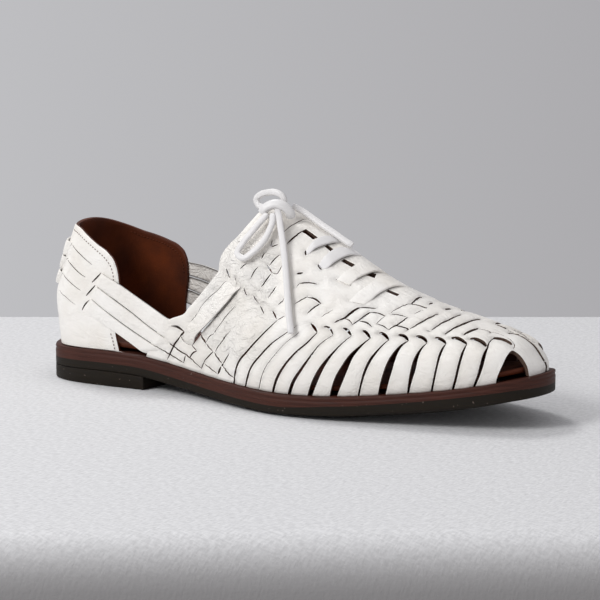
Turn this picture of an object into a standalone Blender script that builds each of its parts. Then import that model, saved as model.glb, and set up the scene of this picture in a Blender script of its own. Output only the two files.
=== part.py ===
# A right-foot woven leather shoe: stacked heel, outsole, welt, insole, one hollow woven upper
# and a leather lace tied in a bow. Tables are in millimetres; meshes are turned to metres as
# they are made. +X runs from heel to toe, -Y is the outer (lateral) side and +Z is up.
from collections import namedtuple

import bmesh
import bpy
import numpy as np

MM = 0.001

# Driving sizes
LENGTH = 302.0          # sole, heel back to toe tip
HEEL_LENGTH = 78.0      # heel block, back to breast
OUTSOLE_THICK = 6.6
WELT_THICK = 4.0
JOIN = 0.3              # gap kept between pieces that meet
WALL = 1.8              # leather of the upper with its lining
RAISE = 0.9             # how far a woven strip stands above the wall
SINK = 0.8              # how far its underside is sunk into the wall
MARGIN_THICK = 1.5      # lasting margin, turned in under the insole
MARGIN_LOW = 0.25       # its underside, above the upper's foot
MARGIN_WIDTH = 9.0
INSOLE_THICK = 2.6
LACE_THICK = 3.2
HEEL_SHIFT = 2.2        # the upper starts this far inside the heel's back
TOE_END = 298.0         # and ends here at the toe tip


def table(columns, *rows):
    """Rows of numbers as one array for each named column."""
    return dict(zip(columns.split(), np.array(rows, float).T))


# Half widths of the sole from the line through heel back and toe tip
OUTLINE = table(
    "x lateral medial",
    (0, 0, 0),
    (6, 19.5, 19),
    (15, 29.5, 28),
    (30, 34.6, 32.5),
    (50, 35.3, 33.2),
    (78, 33.6, 30),
    (103, 35.2, 27.5),
    (128, 41, 28),
    (153, 48, 33),
    (178, 51.5, 41),
    (203, 49, 48.5),
    (223, 44.5, 50.5),
    (243, 39.8, 48),
    (263, 34.6, 41),
    (278, 29.8, 34),
    (290, 23.6, 25),
    (297.5, 15.8, 16.5),
    (302, 0, 0),
)

# Underside of the outsole: on the heel block, arch, flat under the ball, toe spring
UNDERSIDE = table(
    "x z",
    (0, 7.4),
    (78, 7.2),
    (103, 4.2),
    (128, 1.8),
    (153, 0.5),
    (170, 0),
    (198, 0),
    (218, 0.7),
    (238, 2.6),
    (258, 5.4),
    (277, 9.2),
    (292, 12.8),
    (302, 15.4),
)

# The last: crest of each cross-section, fullness of its sides, height of its wall and how
# broad its top is, the last two as shares of the section's rise and half width
LAST = table(
    "x crest_y crest_z full_lateral full_medial wall shoulder",
    (0, 0, 140, 5.4, 5.4, 0.50, 0.80),
    (45, 0, 140, 5.4, 5.4, 0.50, 0.80),
    (80, 1, 128, 4.5, 3.6, 0.50, 0.66),
    (105, 3, 114, 2.7, 2.7, 0.54, 0.54),
    (130, 5, 104.5, 2.7, 2.7, 0.52, 0.48),
    (160, 6, 92, 4.5, 2.7, 0.50, 0.48),
    (185, 6, 79.5, 6.3, 3.6, 0.50, 0.50),
    (210, 5, 67.5, 8.1, 5.4, 0.52, 0.54),
    (235, 3.5, 57.5, 8.1, 7.2, 0.56, 0.60),
    (260, 2, 49.5, 7.2, 7.2, 0.62, 0.66),
    (280, 1, 44.5, 5.4, 5.4, 0.68, 0.72),
    (292, 0.5, 40, 3.6, 3.6, 0.72, 0.74),
    (299, 0, 33.5, 1.8, 1.8, 0.72, 0.74),
    (302, 0, 30, 0.9, 0.9, 0.72, 0.74),
)

# The upper's foot lies inside the sole's edge by this much
WELT_SHOWS = table("x width", (0, 2.2), (60, 2.6), (110, 3), (170, 4.2), (302, 4.2))

# Lean of the heel: how far the back of the counter lies forward at each height
HEEL_CURVE = table("z x", (10, 2.5), (30, 0.3), (45, 0), (60, 2), (75, 6.2), (90, 12), (110, 20))
HEEL_CURVE_FADES = 75.0


def follow(data, column, key, at):
    """Smooth curve through a column's rows, with no overshoot between them."""
    knots, values = data[key], data[column]
    step = np.diff(knots)
    rise = np.diff(values) / step
    slope = np.concatenate([rise[:1], np.zeros(len(knots) - 2), rise[-1:]])
    blend = (rise[:-1] * step[1:] + rise[1:] * step[:-1]) / (step[:-1] + step[1:])
    slope[1:-1] = np.where(rise[:-1] * rise[1:] > 0, blend, 0.0)
    at = np.clip(at, knots[0], knots[-1])
    i = np.clip(np.searchsorted(knots, at, side="right") - 1, 0, len(step) - 1)
    t = (at - knots[i]) / step[i]
    near = values[i] * (2 * t**3 - 3 * t**2 + 1) + slope[i] * step[i] * (t**3 - 2 * t**2 + t)
    far = values[i + 1] * (3 * t**2 - 2 * t**3) + slope[i + 1] * step[i] * (t**3 - t**2)
    return near + far


def turn_of(x):
    """Share of a half turn from heel to toe, which keeps both ends of the outline round."""
    return np.arccos(np.clip(1 - 2 * np.asarray(x, float) / LENGTH, -1, 1)) / np.pi


def x_of(turn):
    return LENGTH * (1 - np.cos(np.pi * np.asarray(turn, float))) / 2


OUTLINE["turn"] = turn_of(OUTLINE["x"])


def half_width(x, medial):
    turn = turn_of(x)
    sides = [follow(OUTLINE, side, "turn", turn) for side in ("lateral", "medial")]
    return np.where(medial, sides[1], sides[0])


def underside(x):
    return follow(UNDERSIDE, "z", "x", x)


def seat(x):
    """Height of the upper's foot, just clear of the welt."""
    return underside(x) + OUTSOLE_THICK + JOIN + WELT_THICK + JOIN


def placed(x):
    """Where the last's x lies along the sole."""
    return HEEL_SHIFT + np.asarray(x, float) * (TOE_END - HEEL_SHIFT) / LENGTH


def last_seat(x):
    return seat(placed(x))


def section(x, t):
    """Side and height of the last at x: t is -1 at the lateral foot, 0 on the crest and 1 at
    the medial foot. Each half is a cubic Bezier that stands up, rounds over and lies flat."""
    medial = t > 0
    width = half_width(x, medial)
    foot = width * (1 - follow(WELT_SHOWS, "width", "x", x) / 45)
    crest = follow(LAST, "crest_y", "x", x) * np.clip(width / 30, 0, 1)
    full = np.where(medial, follow(LAST, "full_medial", "x", x), follow(LAST, "full_lateral", "x", x))
    full = full * np.clip(width / 34, 0, 1)
    side = np.where(medial, 1.0, -1.0)
    reach = foot - side * crest
    rise = follow(LAST, "crest_z", "x", x) - last_seat(x)
    p = 1 - np.abs(t)
    b0, b1, b2, b3 = (1 - p) ** 3, 3 * p * (1 - p) ** 2, 3 * p * p * (1 - p), p**3
    across = b0 * reach + b1 * (reach + full) + b2 * follow(LAST, "shoulder", "x", x) * reach
    up = b1 * follow(LAST, "wall", "x", x) * rise + (b2 + b3) * rise
    return crest + side * across, last_seat(x) + up


def last_point(x, t):
    """A point on the last."""
    x, t = np.broadcast_arrays(np.asarray(x, float), np.asarray(t, float))
    y, z = section(x, t)
    lean = follow(HEEL_CURVE, "x", "z", z) * np.clip(1 - x / HEEL_CURVE_FADES, 0, 1)
    return np.stack([placed(x) + lean, y, z], -1)


def t_at_height(x, z, side):
    """Where the section at x reaches height z, by halving."""
    x, z, side = np.broadcast_arrays(*(np.asarray(v, float) for v in (x, z, side)))
    low, high = np.zeros(x.shape), np.ones(x.shape)
    for _ in range(30):
        middle = (low + high) / 2
        above = section(x, side * middle)[1] > z
        low, high = np.where(above, middle, low), np.where(above, high, middle)
    return side * (low + high) / 2


def surface(place, a, b, lift):
    """Points of place(a, b) moved outward along its normal by lift."""
    step = 4e-3
    along = place(a + step, b) - place(a - step, b)
    across = place(a, b + step) - place(a, b - step)
    normal = np.cross(along, across)
    normal /= np.linalg.norm(normal, axis=-1, keepdims=True)
    return place(a, b) + normal * np.asarray(lift, float)[..., None]


def on_last(x, t, lift=0.0):
    """The last's own surface, by x and t."""
    x = np.clip(x, 0.05, LENGTH - 0.05)
    x, t, lift = np.broadcast_arrays(*(np.asarray(v, float) for v in (x, t, lift)))
    return surface(last_point, x, t, lift)


def heel_point(z, turn):
    """The last round the heel: turn is -1 and 1 at the wings' fronts and 0 at the back."""
    x = np.maximum(WING_FRONT * turn**2, 1e-8)
    return last_point(x, t_at_height(x, z, np.where(turn < 0, -1.0, 1.0)))


def on_heel(z, turn, lift):
    z, turn, lift = np.broadcast_arrays(*(np.asarray(v, float) for v in (z, turn, lift)))
    return surface(heel_point, z, turn, lift)


# Building meshes -----------------------------------------------------------------------


def plain_material(name, colour, roughness):
    material = bpy.data.materials.new(name)
    material.use_nodes = True
    shader = material.node_tree.nodes["Principled BSDF"]
    shader.inputs["Base Color"].default_value = (*colour, 1)
    shader.inputs["Roughness"].default_value = roughness
    shader.inputs["Metallic"].default_value = 0
    return material


def to_world(points):
    """Metres, with the origin under the middle of the sole's box."""
    plan = sole_loop(sole_turns())
    middle = (*(plan.min(axis=0) + plan.max(axis=0)) / 2, 0)
    return (np.asarray(points, float) - middle) * MM


def add_object(name, points, faces, material):
    mesh = bpy.data.meshes.new(name)
    mesh.from_pydata(to_world(points).tolist(), [], faces)
    work = bmesh.new()
    work.from_mesh(mesh)
    bmesh.ops.recalc_face_normals(work, faces=work.faces)
    bmesh.ops.triangulate(work, faces=work.faces)
    if work.calc_volume(signed=True) < 0:
        bmesh.ops.reverse_faces(work, faces=work.faces)
    work.to_mesh(mesh)
    work.free()
    mesh.shade_smooth()
    mesh.set_sharp_from_angle(angle=np.radians(35))
    obj = bpy.data.objects.new(name, mesh)
    bpy.context.scene.collection.objects.link(obj)
    if material:
        mesh.materials.append(material)
    return obj


def block(grid, capped=True):
    """Points and faces of a closed solid from a grid of shape (rings, corners, 3): each ring
    of corners is joined to the next, and the two end rings are capped or are the same ring."""
    rings, corners = grid.shape[:2]
    faces = []
    for i in range(rings - 1):
        for j in range(corners):
            k = (j + 1) % corners
            faces.append((i * corners + j, i * corners + k, (i + 1) * corners + k, (i + 1) * corners + j))
    if not capped:
        last = (rings - 1) * corners
        return grid.reshape(-1, 3)[:last], [tuple(v % last for v in face) for face in faces]
    faces.append(tuple(range(corners)))
    faces.append(tuple(range((rings - 1) * corners, rings * corners)))
    return grid.reshape(-1, 3), faces


def joined(solids):
    """Several closed solids that don't touch, as one list of points and faces."""
    points, faces, start = [], [], 0
    for some_points, some_faces in solids:
        points.append(some_points)
        faces += [tuple(start + v for v in face) for face in some_faces]
        start += len(some_points)
    return np.concatenate(points), faces


def boolean(target, operation, cutter):
    modifier = target.modifiers.new(cutter.name, "BOOLEAN")
    modifier.operation = operation
    modifier.solver = "MANIFOLD"
    modifier.object = cutter
    cutter.hide_render = True
    cutter.display_type = "WIRE"


# Sole ----------------------------------------------------------------------------------

SOLE_STEPS = 24
HEEL_STEPS = 12
EDGE_ROUND = 0.7        # the sole's and the heel's lower edge is taken off by this much

# Side of the welt from its foot up: a groove between two ribs, by how far in and how high up
WELT_EDGE = ((0.3, 0), (0, 0.12), (0.1, 0.42), (0.7, 0.52), (0.1, 0.62), (0.5, 1))


def sole_turns(start=0.0, end=LENGTH, steps=SOLE_STEPS):
    """Places along the sole, closer together at its round ends."""
    return x_of(np.linspace(turn_of(start), turn_of(end), steps + 1))


def closed_loop(xs, lateral, medial):
    """Plan corners along the lateral side and back along the medial, with shared ends once."""
    medial = medial[::-1]
    if xs[0] < 1e-6:
        medial = medial[:-1]
    if xs[-1] > LENGTH - 1e-6:
        medial = medial[1:]
    return np.concatenate([lateral, medial])


def sole_loop(xs):
    sides = [np.stack([xs, side * half_width(xs, side > 0)], -1) for side in (-1, 1)]
    return closed_loop(xs, *sides)


def foot_loop(xs):
    """Where the upper meets the welt."""
    return closed_loop(xs, *(last_point(xs, side)[:, :2] for side in (-1, 1)))


def inset_loop(loop, inset, height):
    """The plan loop moved in by inset, at height(x)."""
    ahead = np.roll(loop, -1, axis=0) - np.roll(loop, 1, axis=0)
    inward = np.stack([-ahead[:, 1], ahead[:, 0]], -1)
    loop = loop + inward / np.linalg.norm(inward, axis=-1, keepdims=True) * inset
    return np.concatenate([loop, height(loop[:, 0])[:, None]], -1)


def slab(xs, layers, loop=sole_loop):
    """Solid inside a plan loop from (inset, height) layers, bottom to top, capped by strips
    that run straight across it."""
    grid = np.stack([inset_loop(loop(xs), inset, height) for inset, height in layers])
    rings, corners = grid.shape[:2]
    points, faces = block(grid)
    faces = faces[:-2]
    opposite = 0 if xs[0] < 1e-6 else -1
    for ring in (0, rings - 1):
        for k in range(len(xs) - 1):
            strip = (k, k + 1, (opposite - k - 1) % corners, (opposite - k) % corners)
            faces.append(tuple(ring * corners + v for v in dict.fromkeys(strip)))
    return points, faces


def above_seat(lift):
    return lambda x: seat(x) + lift


def above_underside(lift):
    return lambda x: underside(x) + lift


def make_sole():
    sole_black = plain_material("sole_black", (0.022, 0.018, 0.016), 0.5)
    welt_brown = plain_material("welt_brown", (0.085, 0.035, 0.025), 0.45)
    lining_brown = plain_material("lining_brown", (0.11, 0.030, 0.014), 0.55)
    whole = sole_turns()
    heel = sole_turns(0, HEEL_LENGTH, HEEL_STEPS)
    add_object("heel_block", *slab(heel, [(EDGE_ROUND, np.zeros_like), (0, lambda x: 0 * x + EDGE_ROUND),
                                          (0, above_underside(-JOIN))]), sole_black)
    add_object("outsole", *slab(whole, [(EDGE_ROUND, underside), (0, above_underside(EDGE_ROUND)),
                                        (0, above_underside(OUTSOLE_THICK))]), sole_black)
    welt_low = OUTSOLE_THICK + JOIN
    edge = [(inset, above_underside(welt_low + share * WELT_THICK)) for inset, share in WELT_EDGE]
    add_object("welt", *slab(whole, edge), welt_brown)
    insole_low = MARGIN_LOW + MARGIN_THICK + JOIN
    inset = COUNTER_WALL + JOIN
    levels = [(inset, above_seat(lift)) for lift in (insole_low, insole_low + INSOLE_THICK)]
    add_object("insole", *slab(whole, levels, foot_loop), lining_brown)


# Upper ---------------------------------------------------------------------------------

WING_FRONT = 60.0       # the counter's wings end here
COUNTER_WALL = 2.2      # the counter is stiffer than the rest
COUNTER_STEPS, COUNTER_ROWS = 24, 6

# Top edge of the counter round the heel, by distance from its back along the shoe
COUNTER_RIM = table(
    "x lateral medial",
    (0, 86, 86),
    (10, 86.5, 84),
    (20, 86.3, 80),
    (30, 83.8, 76.5),
    (40, 77.6, 74),
    (50, 72, 71),
    (56, 67.5, 67),
    (60, 59, 58),
)

# Lines of the vamp that run up from the welt to the crest, and how far along the shoe each
# one is at the shares t of the way down. The finger strips lie between them: under its head
# each line opens into a gap, as wide as this at the welt and at half its height.
LINES = table(
    "foot t92 t85 t78 t70 t60 t50 t40 t25 crest head foot_wide middle_wide",
    (84, 87.4, 96.5, 108, 117.8, 125.3, 128.6, 131.2, 134, 136, 0.60, 0, 0),
    (95, 99.5, 107.5, 115, 124, 133, 136.8, 139, 141.5, 144, 0.62, 0, 0),
    (107, 111.5, 118.8, 126, 135, 143.5, 147, 148.5, 149.5, 150, 0.66, 0, 2.2),
    (119, 127, 134.5, 142.5, 149.5, 153.5, 154, 154.5, 155, 156, 0.68, 0, 0),
    (131, 137, 143.5, 151, 158, 161.5, 162, 162, 161.5, 162.5, 0.70, 0, 0),
    (143, 146, 152, 159, 167, 171, 175, 179, 182, 184, 0.69, 0.7, 0.7),
    (152.3, 155, 161.5, 168.5, 176.5, 178.3, 183.5, 188, 189.5, 191, 0.70, 0.8, 0.8),
    (161.8, 165, 170, 176.5, 183.3, 186.5, 191.5, 192.6, 194, 197, 0.70, 0.7, 0.7),
    (172.3, 175.2, 180.5, 187, 192.8, 195.3, 199.2, 203.2, 205, 208, 0.665, 1.2, 1.2),
    (183, 186.2, 191.3, 197, 201.8, 204, 207, 211.5, 214.5, 217.5, 0.645, 2.0, 1.8),
    (194.5, 198, 202, 206.8, 211, 213.6, 214.5, 218.4, 222, 224.8, 0.62, 3.4, 2.8),
    (208.3, 211.5, 214.3, 218, 221.2, 223.2, 223, 226.5, 230, 232.3, 0.605, 4.4, 3.8),
    (221.7, 224, 226, 228.8, 231.3, 232.8, 231.8, 234.3, 238, 240.5, 0.59, 1.0, 1.4),
    (233.5, 235.6, 237.2, 239.4, 241.5, 242.8, 241.8, 242, 245.5, 247.5, 0.56, 4.0, 3.4),
    (246.8, 248.4, 249.6, 250.8, 251.8, 252.5, 252, 251, 252.6, 254.5, 0.535, 1.4, 1.9),
    (258.8, 260.2, 261, 261.5, 261.8, 262, 261.6, 258.9, 260.2, 262, 0.50, 0.8, 1.2),
    (269.2, 270.8, 271.7, 272.1, 272.2, 272.2, 272, 271.2, 268.7, 269.3, 0.445, 0.9, 1.3),
    (280, 281.8, 282.6, 283, 283, 282.8, 282.4, 281.9, 281.2, 279, 0.38, 1.1, 1.6),
    (289.5, 290, 290.4, 290.7, 290.9, 291, 291, 291, 290.6, 288, 0.30, 0, 0),
    (298.6, 298.5, 298.4, 298.2, 298, 297.8, 297.4, 297, 296, 295.5, 0.30, 0, 0),
    (300.6, 300.6, 300.6, 300.6, 300.6, 300.6, 300.5, 300.4, 300.3, 300.2, 0.30, 0, 0),
    (302, 302, 302, 302, 302, 302, 302, 302, 302, 302, 0.30, 0, 0),
)
LINE_SHARES = (1, 0.92, 0.85, 0.78, 0.7, 0.6, 0.5, 0.4, 0.25, 0)
LINE_COUNT = len(LINES["head"])
LAST_FINGER = 17        # the gap behind the last finger, which runs up beside the toe strap
TOE_BACK = 18           # the toe opening lies in front of this line

# Rows of the vamp between the welt and the heads, and on up to the throat's two edges
FOOT_ROWS = (0, 0.25, 0.5, 0.75, 1)
HEAD_ROWS = (0.28, 0.62, 1)
THROAT_LOW, THROAT_HIGH = 0.157, 0.105

# Throat slit: open between these pairs of lines, and closed by the strips between them
THROAT_OPEN = ((0, 3), (4, 7), (9, 10))

# Raised pads of one side where a strip passes over: between a line and the next, by t
PADS = table(
    "line low high",
    (1, 0.580, 0.470),
    (2, 0.600, 0.500),
    (3, 0.620, 0.520),
    (4, 0.630, 0.545),
    (3, 0.475, 0.385),
    (4, 0.500, 0.410),
    (5, 0.570, 0.450),
    (6, 0.560, 0.480),
    (7, 0.565, 0.470),
    (8, 0.555, 0.405),
    (9, 0.530, 0.400),
    (10, 0.515, 0.400),
    (11, 0.490, 0.350),
    (12, 0.460, 0.190),
)

# Strips over the crest: between a line and the next, from t on the lateral side to t beyond
CREST_BARS = table(
    "line low high",
    (3, 0.28, -0.24),
    (7, 0.32, -0.26),
    (8, 0.37, -0.28),
    (10, 0.36, -0.28),
    (13, 0.41, -0.36),
    (14, 0.37, -0.33),
    (15, 0.33, -0.30),
)
STRIP_INSET = 0.55      # from a line to the strip beside it

# The lengthwise band that the finger strips duck under, from just above their heads to here
BAND_TOP = table(
    "x t",
    (164, 0.590),
    (187, 0.588),
    (203, 0.567),
    (212, 0.545),
    (222, 0.516),
    (231, 0.498),
    (240, 0.466),
    (250, 0.425),
    (260, 0.375),
    (269, 0.300),
    (278, 0.230),
)
BAND_FIRST, BAND_LAST = 5, 17
BAND_BEHIND = 1.5       # its corners lie this far behind the lines
HEAD_CLEAR = 0.012      # and this share above the heads

# Pads of the braid at the waist, by corners in x and height above the welt: foot back, foot
# front, head front, head back
Pad = namedtuple("Pad", "x1 h1 x2 h2 x3 h3 x4 h4")
BRAID = [Pad(*row) for row in (
    (86.0, 1.4, 92.6, 1.4, 96.0, 9.0, 89.6, 11.4),
    (94.8, 5.2, 103.4, 3.0, 105.2, 6.3, 97.6, 8.8),
    (98.2, 10.0, 108.6, 6.4, 113.6, 10.6, 103.0, 15.0),
    (109.9, 5.6, 117.5, 2.8, 119.5, 6.4, 115.0, 9.8),
    (116.2, 11.0, 120.5, 7.6, 126.5, 12.7, 117.4, 18.6),
    (121.6, 6.2, 130.3, 2.8, 133.2, 8.2, 127.6, 12.0),
)]

# Straps from the counter forward into the waist: middle of each by x and height above the welt
SIDE_STRAPS = (
    ((46.5, 39.4), (61, 32.2), (72, 26.4), (84, 20.6), (96, 15.6)),
    ((43.2, 31.6), (57, 24.2), (70, 17.2), (80, 12.6), (89, 9.2)),
    ((39.8, 24.0), (54, 17.0), (66, 10.4), (76, 5.6), (86, 4.4)),
)
LEAST_HEIGHT = 0.9      # no strap reaches nearer to the welt
STRAP_WIDE = 8.3
STRAP_OUT = 1.3

# Two straps that climb from the braid to the instep: the facing of the opening and its brace
INSTEP_STRAPS = (
    ((101.5, 21.5), (107, 27), (117, 38), (126, 48.5), (131.5, 57)),
    ((107.5, 15.2), (113, 21.0), (123.5, 32), (132.5, 42.5), (138.0, 49.5)),
)
INSTEP_STRAP_WIDE = 7.6

# The side straps show again round the back of the heel
HEEL_LOOPS = (72.6, 64.4, 56.2)
HEEL_LOOP_WIDE = 7.0
HEEL_LOOP_TURN = 0.53


def smooth_route(knots, count):
    """Points evenly spread over a smooth curve through the knots."""
    knots = np.array(knots, float)
    s = np.concatenate([[0], np.cumsum(np.linalg.norm(np.diff(knots, axis=0), axis=1))])
    step = np.diff(s)[:, None]
    rise = np.diff(knots, axis=0) / step
    blend = (rise[:-1] * step[1:] + rise[1:] * step[:-1]) / (step[:-1] + step[1:])
    slope = np.concatenate([rise[:1], blend, rise[-1:]])
    at = np.linspace(0, s[-1], count)
    i = np.clip(np.searchsorted(s, at, side="right") - 1, 0, len(step) - 1)
    t = ((at - s[i]) / step[i, 0])[:, None]
    near = knots[i] * (2 * t**3 - 3 * t**2 + 1) + slope[i] * step[i] * (t**3 - 2 * t**2 + t)
    return near + knots[i + 1] * (3 * t**2 - 2 * t**3) + slope[i + 1] * step[i] * (t**3 - t**2)


def line_x(line, share):
    """Where a line of the vamp is at the share of the way down to the welt."""
    knots = [LINES[column][line] for column in list(LINES)[:len(LINE_SHARES)]]
    rising = {"t": np.array(LINE_SHARES[::-1], float), "x": np.array(knots[::-1], float)}
    return follow(rising, "x", "t", share)


def strip_solid(x, t, low, high):
    """Closed solid lying on the last from lift low to lift high; x and t hold the back and
    front edge of each station."""
    corners = [on_last(x[:, 0], t[:, 0], low), on_last(x[:, 1], t[:, 1], low),
               on_last(x[:, 1], t[:, 1], high), on_last(x[:, 0], t[:, 0], high)]
    return block(np.stack(corners, 1))


def between_lines(line, side, t):
    """A raised strip between a line and the next, over the given t's; side is -1 on the
    lateral side and 1 on the medial."""
    back = line_x(line, np.abs(t)) + STRIP_INSET
    front = line_x(line + 1, np.abs(t)) - STRIP_INSET
    return strip_solid(np.stack([back, front], 1), side * np.stack([t, t], 1), -SINK, RAISE)


def pad_solid(side, line, low, high):
    return between_lines(int(line), side, np.array([low, high]))


def crest_bar(line, low, high):
    return between_lines(int(line), -1, np.linspace(low, high, 5))


def band_solid(side):
    lines = range(BAND_FIRST, BAND_LAST)
    low = [LINES["head"][line] - HEAD_CLEAR for line in lines]
    back = np.array([line_x(line, t) for line, t in zip(lines, low)]) - BAND_BEHIND
    high = follow(BAND_TOP, "t", "x", back)
    return strip_solid(np.stack([back, back], 1), side * np.stack([low, high], 1), -SINK, RAISE)


def by_height(side, xs, heights, low, high):
    """A strip given by x and height above the welt instead of t."""
    t = t_at_height(xs, last_seat(xs) + np.maximum(heights, LEAST_HEIGHT), side)
    return strip_solid(xs, t, low, high)


def braid_pad(side, pad):
    xs = np.array([[pad.x1, pad.x2], [pad.x4, pad.x3]])
    heights = np.array([[pad.h1, pad.h2], [pad.h4, pad.h3]])
    return by_height(side, xs, heights, -SINK, RAISE)


def strap_solid(side, knots, wide, high, count):
    """A strap lying on the last along a route of x and height above the welt."""
    route = smooth_route(knots, count)
    run = np.gradient(route, axis=0)
    run *= wide / 2 / np.linalg.norm(run, axis=1, keepdims=True)
    xs = route[:, :1] + run[:, 1:] * (1, -1)
    heights = route[:, 1:] - run[:, :1] * (1, -1)
    return by_height(side, xs, heights, -SINK, high)


def heel_loop(z):
    turn = np.linspace(-HEEL_LOOP_TURN, HEEL_LOOP_TURN, 12)
    half = HEEL_LOOP_WIDE / 2
    edges = ((-half, -SINK), (half, -SINK), (half, STRAP_OUT), (-half, STRAP_OUT))
    return block(np.stack([on_heel(z + shift, turn, lift) for shift, lift in edges], 1))


def vamp_rows(head):
    """Shares t from the welt up to the crest for a line whose head is at this t."""
    rows = [1 + (head - 1) * share for share in FOOT_ROWS]
    rows += [head + (THROAT_LOW - head) * share for share in HEAD_ROWS]
    return np.array(rows + [THROAT_HIGH, 0])


def vamp_columns():
    """Each line of the vamp as its x and t at every row. One that opens into a gap gives both
    of the gap's edges, the second with the rows where the gap starts and closes."""
    columns = []
    for line in range(LINE_COUNT):
        t = vamp_rows(LINES["head"][line])
        x = line_x(line, t)
        foot_wide, middle_wide = LINES["foot_wide"][line], LINES["middle_wide"][line]
        if middle_wide == 0:
            columns.append((x, t, None))
            continue
        closes = len(FOOT_ROWS) - 1 + (2 if line == LAST_FINGER else 0)
        climb = np.arange(len(t)) / closes
        wide = np.where(climb < 0.5, foot_wide + (middle_wide - foot_wide) * climb * 2,
                        middle_wide * (1 - (2 * climb - 1) ** 4))
        wide = np.where(climb < 1, wide, 0)
        columns.append((x - wide / 2, t, None))
        columns.append((x + wide / 2, t, (0 if foot_wide else 1, closes)))
    return columns


def vamp_wall():
    columns = vamp_columns()
    lateral_x = np.array([x for x, _, _ in columns]).T
    lateral_t = -np.array([t for _, t, _ in columns]).T
    x = np.concatenate([lateral_x, lateral_x[-2::-1]])
    t = np.concatenate([lateral_t, -lateral_t[-2::-1]])
    rows = len(x)
    leather = np.ones((rows - 1, len(columns) - 1), bool)
    for j, (_, _, gap) in enumerate(columns):
        if gap:
            first, end = gap
            leather[first:end, j - 1] = False
            leather[rows - 1 - end:rows - 1 - first, j - 1] = False
    toe = len(columns) - (LINE_COUNT - TOE_BACK)
    foot_cells = len(FOOT_ROWS) - 1
    leather[:foot_cells, toe] = leather[-foot_cells:, toe] = False
    throat_row = foot_cells + len(HEAD_ROWS)
    middles = (x[throat_row, 1:] + x[throat_row, :-1]) / 2
    for first, last in THROAT_OPEN:
        low, high = (line_x(line, THROAT_LOW) for line in (first, last))
        leather[throat_row, (middles > low) & (middles < high)] = False
    outer, inner = on_last(x, t, 0), on_last(x, t, -WALL)
    for grid in (outer, inner):
        grid[:, -1, 1] = 0
        grid[:, -1] = (grid[:, -1] + grid[::-1, -1]) / 2
    return holed_shell(outer, inner, leather)


def holed_shell(outer, inner, leather):
    """Closed wall between two grids of points, without the cells that aren't leather."""
    rows, columns = outer.shape[:2]
    count = rows * columns
    corner = np.arange(count).reshape(rows, columns)
    faces = []
    edges = {}
    for i, j in np.argwhere(leather):
        ring = [corner[i, j], corner[i, j + 1], corner[i + 1, j + 1], corner[i + 1, j]]
        for a, b in zip(ring, ring[1:] + ring[:1]):
            if edges.pop((int(b), int(a)), None) is None:
                edges[int(a), int(b)] = True
        faces.append([int(v) for v in ring])
        faces.append([int(v) + count for v in reversed(ring)])
    faces += [[b, a, a + count, b + count] for a, b in edges]
    return welded(np.concatenate([outer.reshape(-1, 3), inner.reshape(-1, 3)]), faces)


def welded(points, faces):
    """The same mesh with corners that meet made one, and faces that close up left out."""
    _, first, index = np.unique(np.round(points, 4), axis=0, return_index=True, return_inverse=True)
    index = index.reshape(-1)
    kept = []
    for face in faces:
        ring = list(dict.fromkeys(int(index[v]) for v in face))
        if len(ring) > 2:
            kept.append(tuple(ring))
    paired = {}
    for ring in kept:
        paired.setdefault(frozenset(ring), []).append(ring)
    return points[first], [rings[0] for rings in paired.values() if len(rings) == 1]


def counter_wall():
    turn = np.linspace(-1, 1, COUNTER_STEPS + 1)
    x = WING_FRONT * turn**2
    rim = np.where(turn < 0, follow(COUNTER_RIM, "lateral", "x", x), follow(COUNTER_RIM, "medial", "x", x))
    foot = last_seat(x)
    share = np.linspace(0, 1, COUNTER_ROWS + 1)[None, :]
    z = foot[:, None] + (rim - foot)[:, None] * share
    outer, inner = (on_heel(z, turn[:, None], lift) for lift in (0, -COUNTER_WALL))
    return holed_shell(outer, inner, np.ones((COUNTER_STEPS, COUNTER_ROWS), bool))


def lasting_margin():
    """Flat ring under the insole that the wall, counter and straps all run into."""
    base = foot_loop(x_of(np.linspace(0, 1, SOLE_STEPS + 1)))
    low, high = MARGIN_LOW, MARGIN_LOW + MARGIN_THICK
    corners = ((1, low), (1, high), (1 + MARGIN_WIDTH, high), (1 + MARGIN_WIDTH, low))
    grid = np.stack([inset_loop(base, inset, above_seat(lift)) for inset, lift in corners], 1)
    return block(np.concatenate([grid, grid[:1]]), capped=False)


def make_upper():
    leather = plain_material("white_leather", (0.80, 0.77, 0.73), 0.5)
    upper = add_object("upper", *vamp_wall(), leather)
    boolean(upper, "UNION", add_object("upper_counter", *counter_wall(), None))
    boolean(upper, "UNION", add_object("upper_margin", *lasting_margin(), None))
    straps = [strap_solid(side, knots, STRAP_WIDE, STRAP_OUT, 6)
              for side in (-1, 1) for knots in SIDE_STRAPS]
    straps += [heel_loop(z) for z in HEEL_LOOPS]
    boolean(upper, "UNION", add_object("upper_straps", *joined(straps), None))
    climbing = [strap_solid(side, knots, INSTEP_STRAP_WIDE, RAISE, 5)
                for side in (-1, 1) for knots in INSTEP_STRAPS]
    climbing += [braid_pad(side, pad) for side in (-1, 1) for pad in BRAID]
    boolean(upper, "UNION", add_object("upper_braid", *joined(climbing), None))
    raised = [pad_solid(side, *row) for side in (-1, 1) for row in zip(*PADS.values())]
    raised += [band_solid(side) for side in (-1, 1)]
    boolean(upper, "UNION", add_object("upper_weave", *joined(raised), None))
    bars = [crest_bar(*row) for row in zip(*CREST_BARS.values())]
    boolean(upper, "UNION", add_object("upper_bars", *joined(bars), None))


# Lace ----------------------------------------------------------------------------------

# Crossings of the flat lace: eyelet of the lateral side, then of the medial side, by x and t
CROSSINGS = {
    "lace_crossing_upper": ((172.0, -0.262), (178.5, 0.01)),
    "lace_crossing_lower": ((183.5, -0.278), (191.0, 0.01)),
}
CROSSING_WIDE = 5.2

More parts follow.
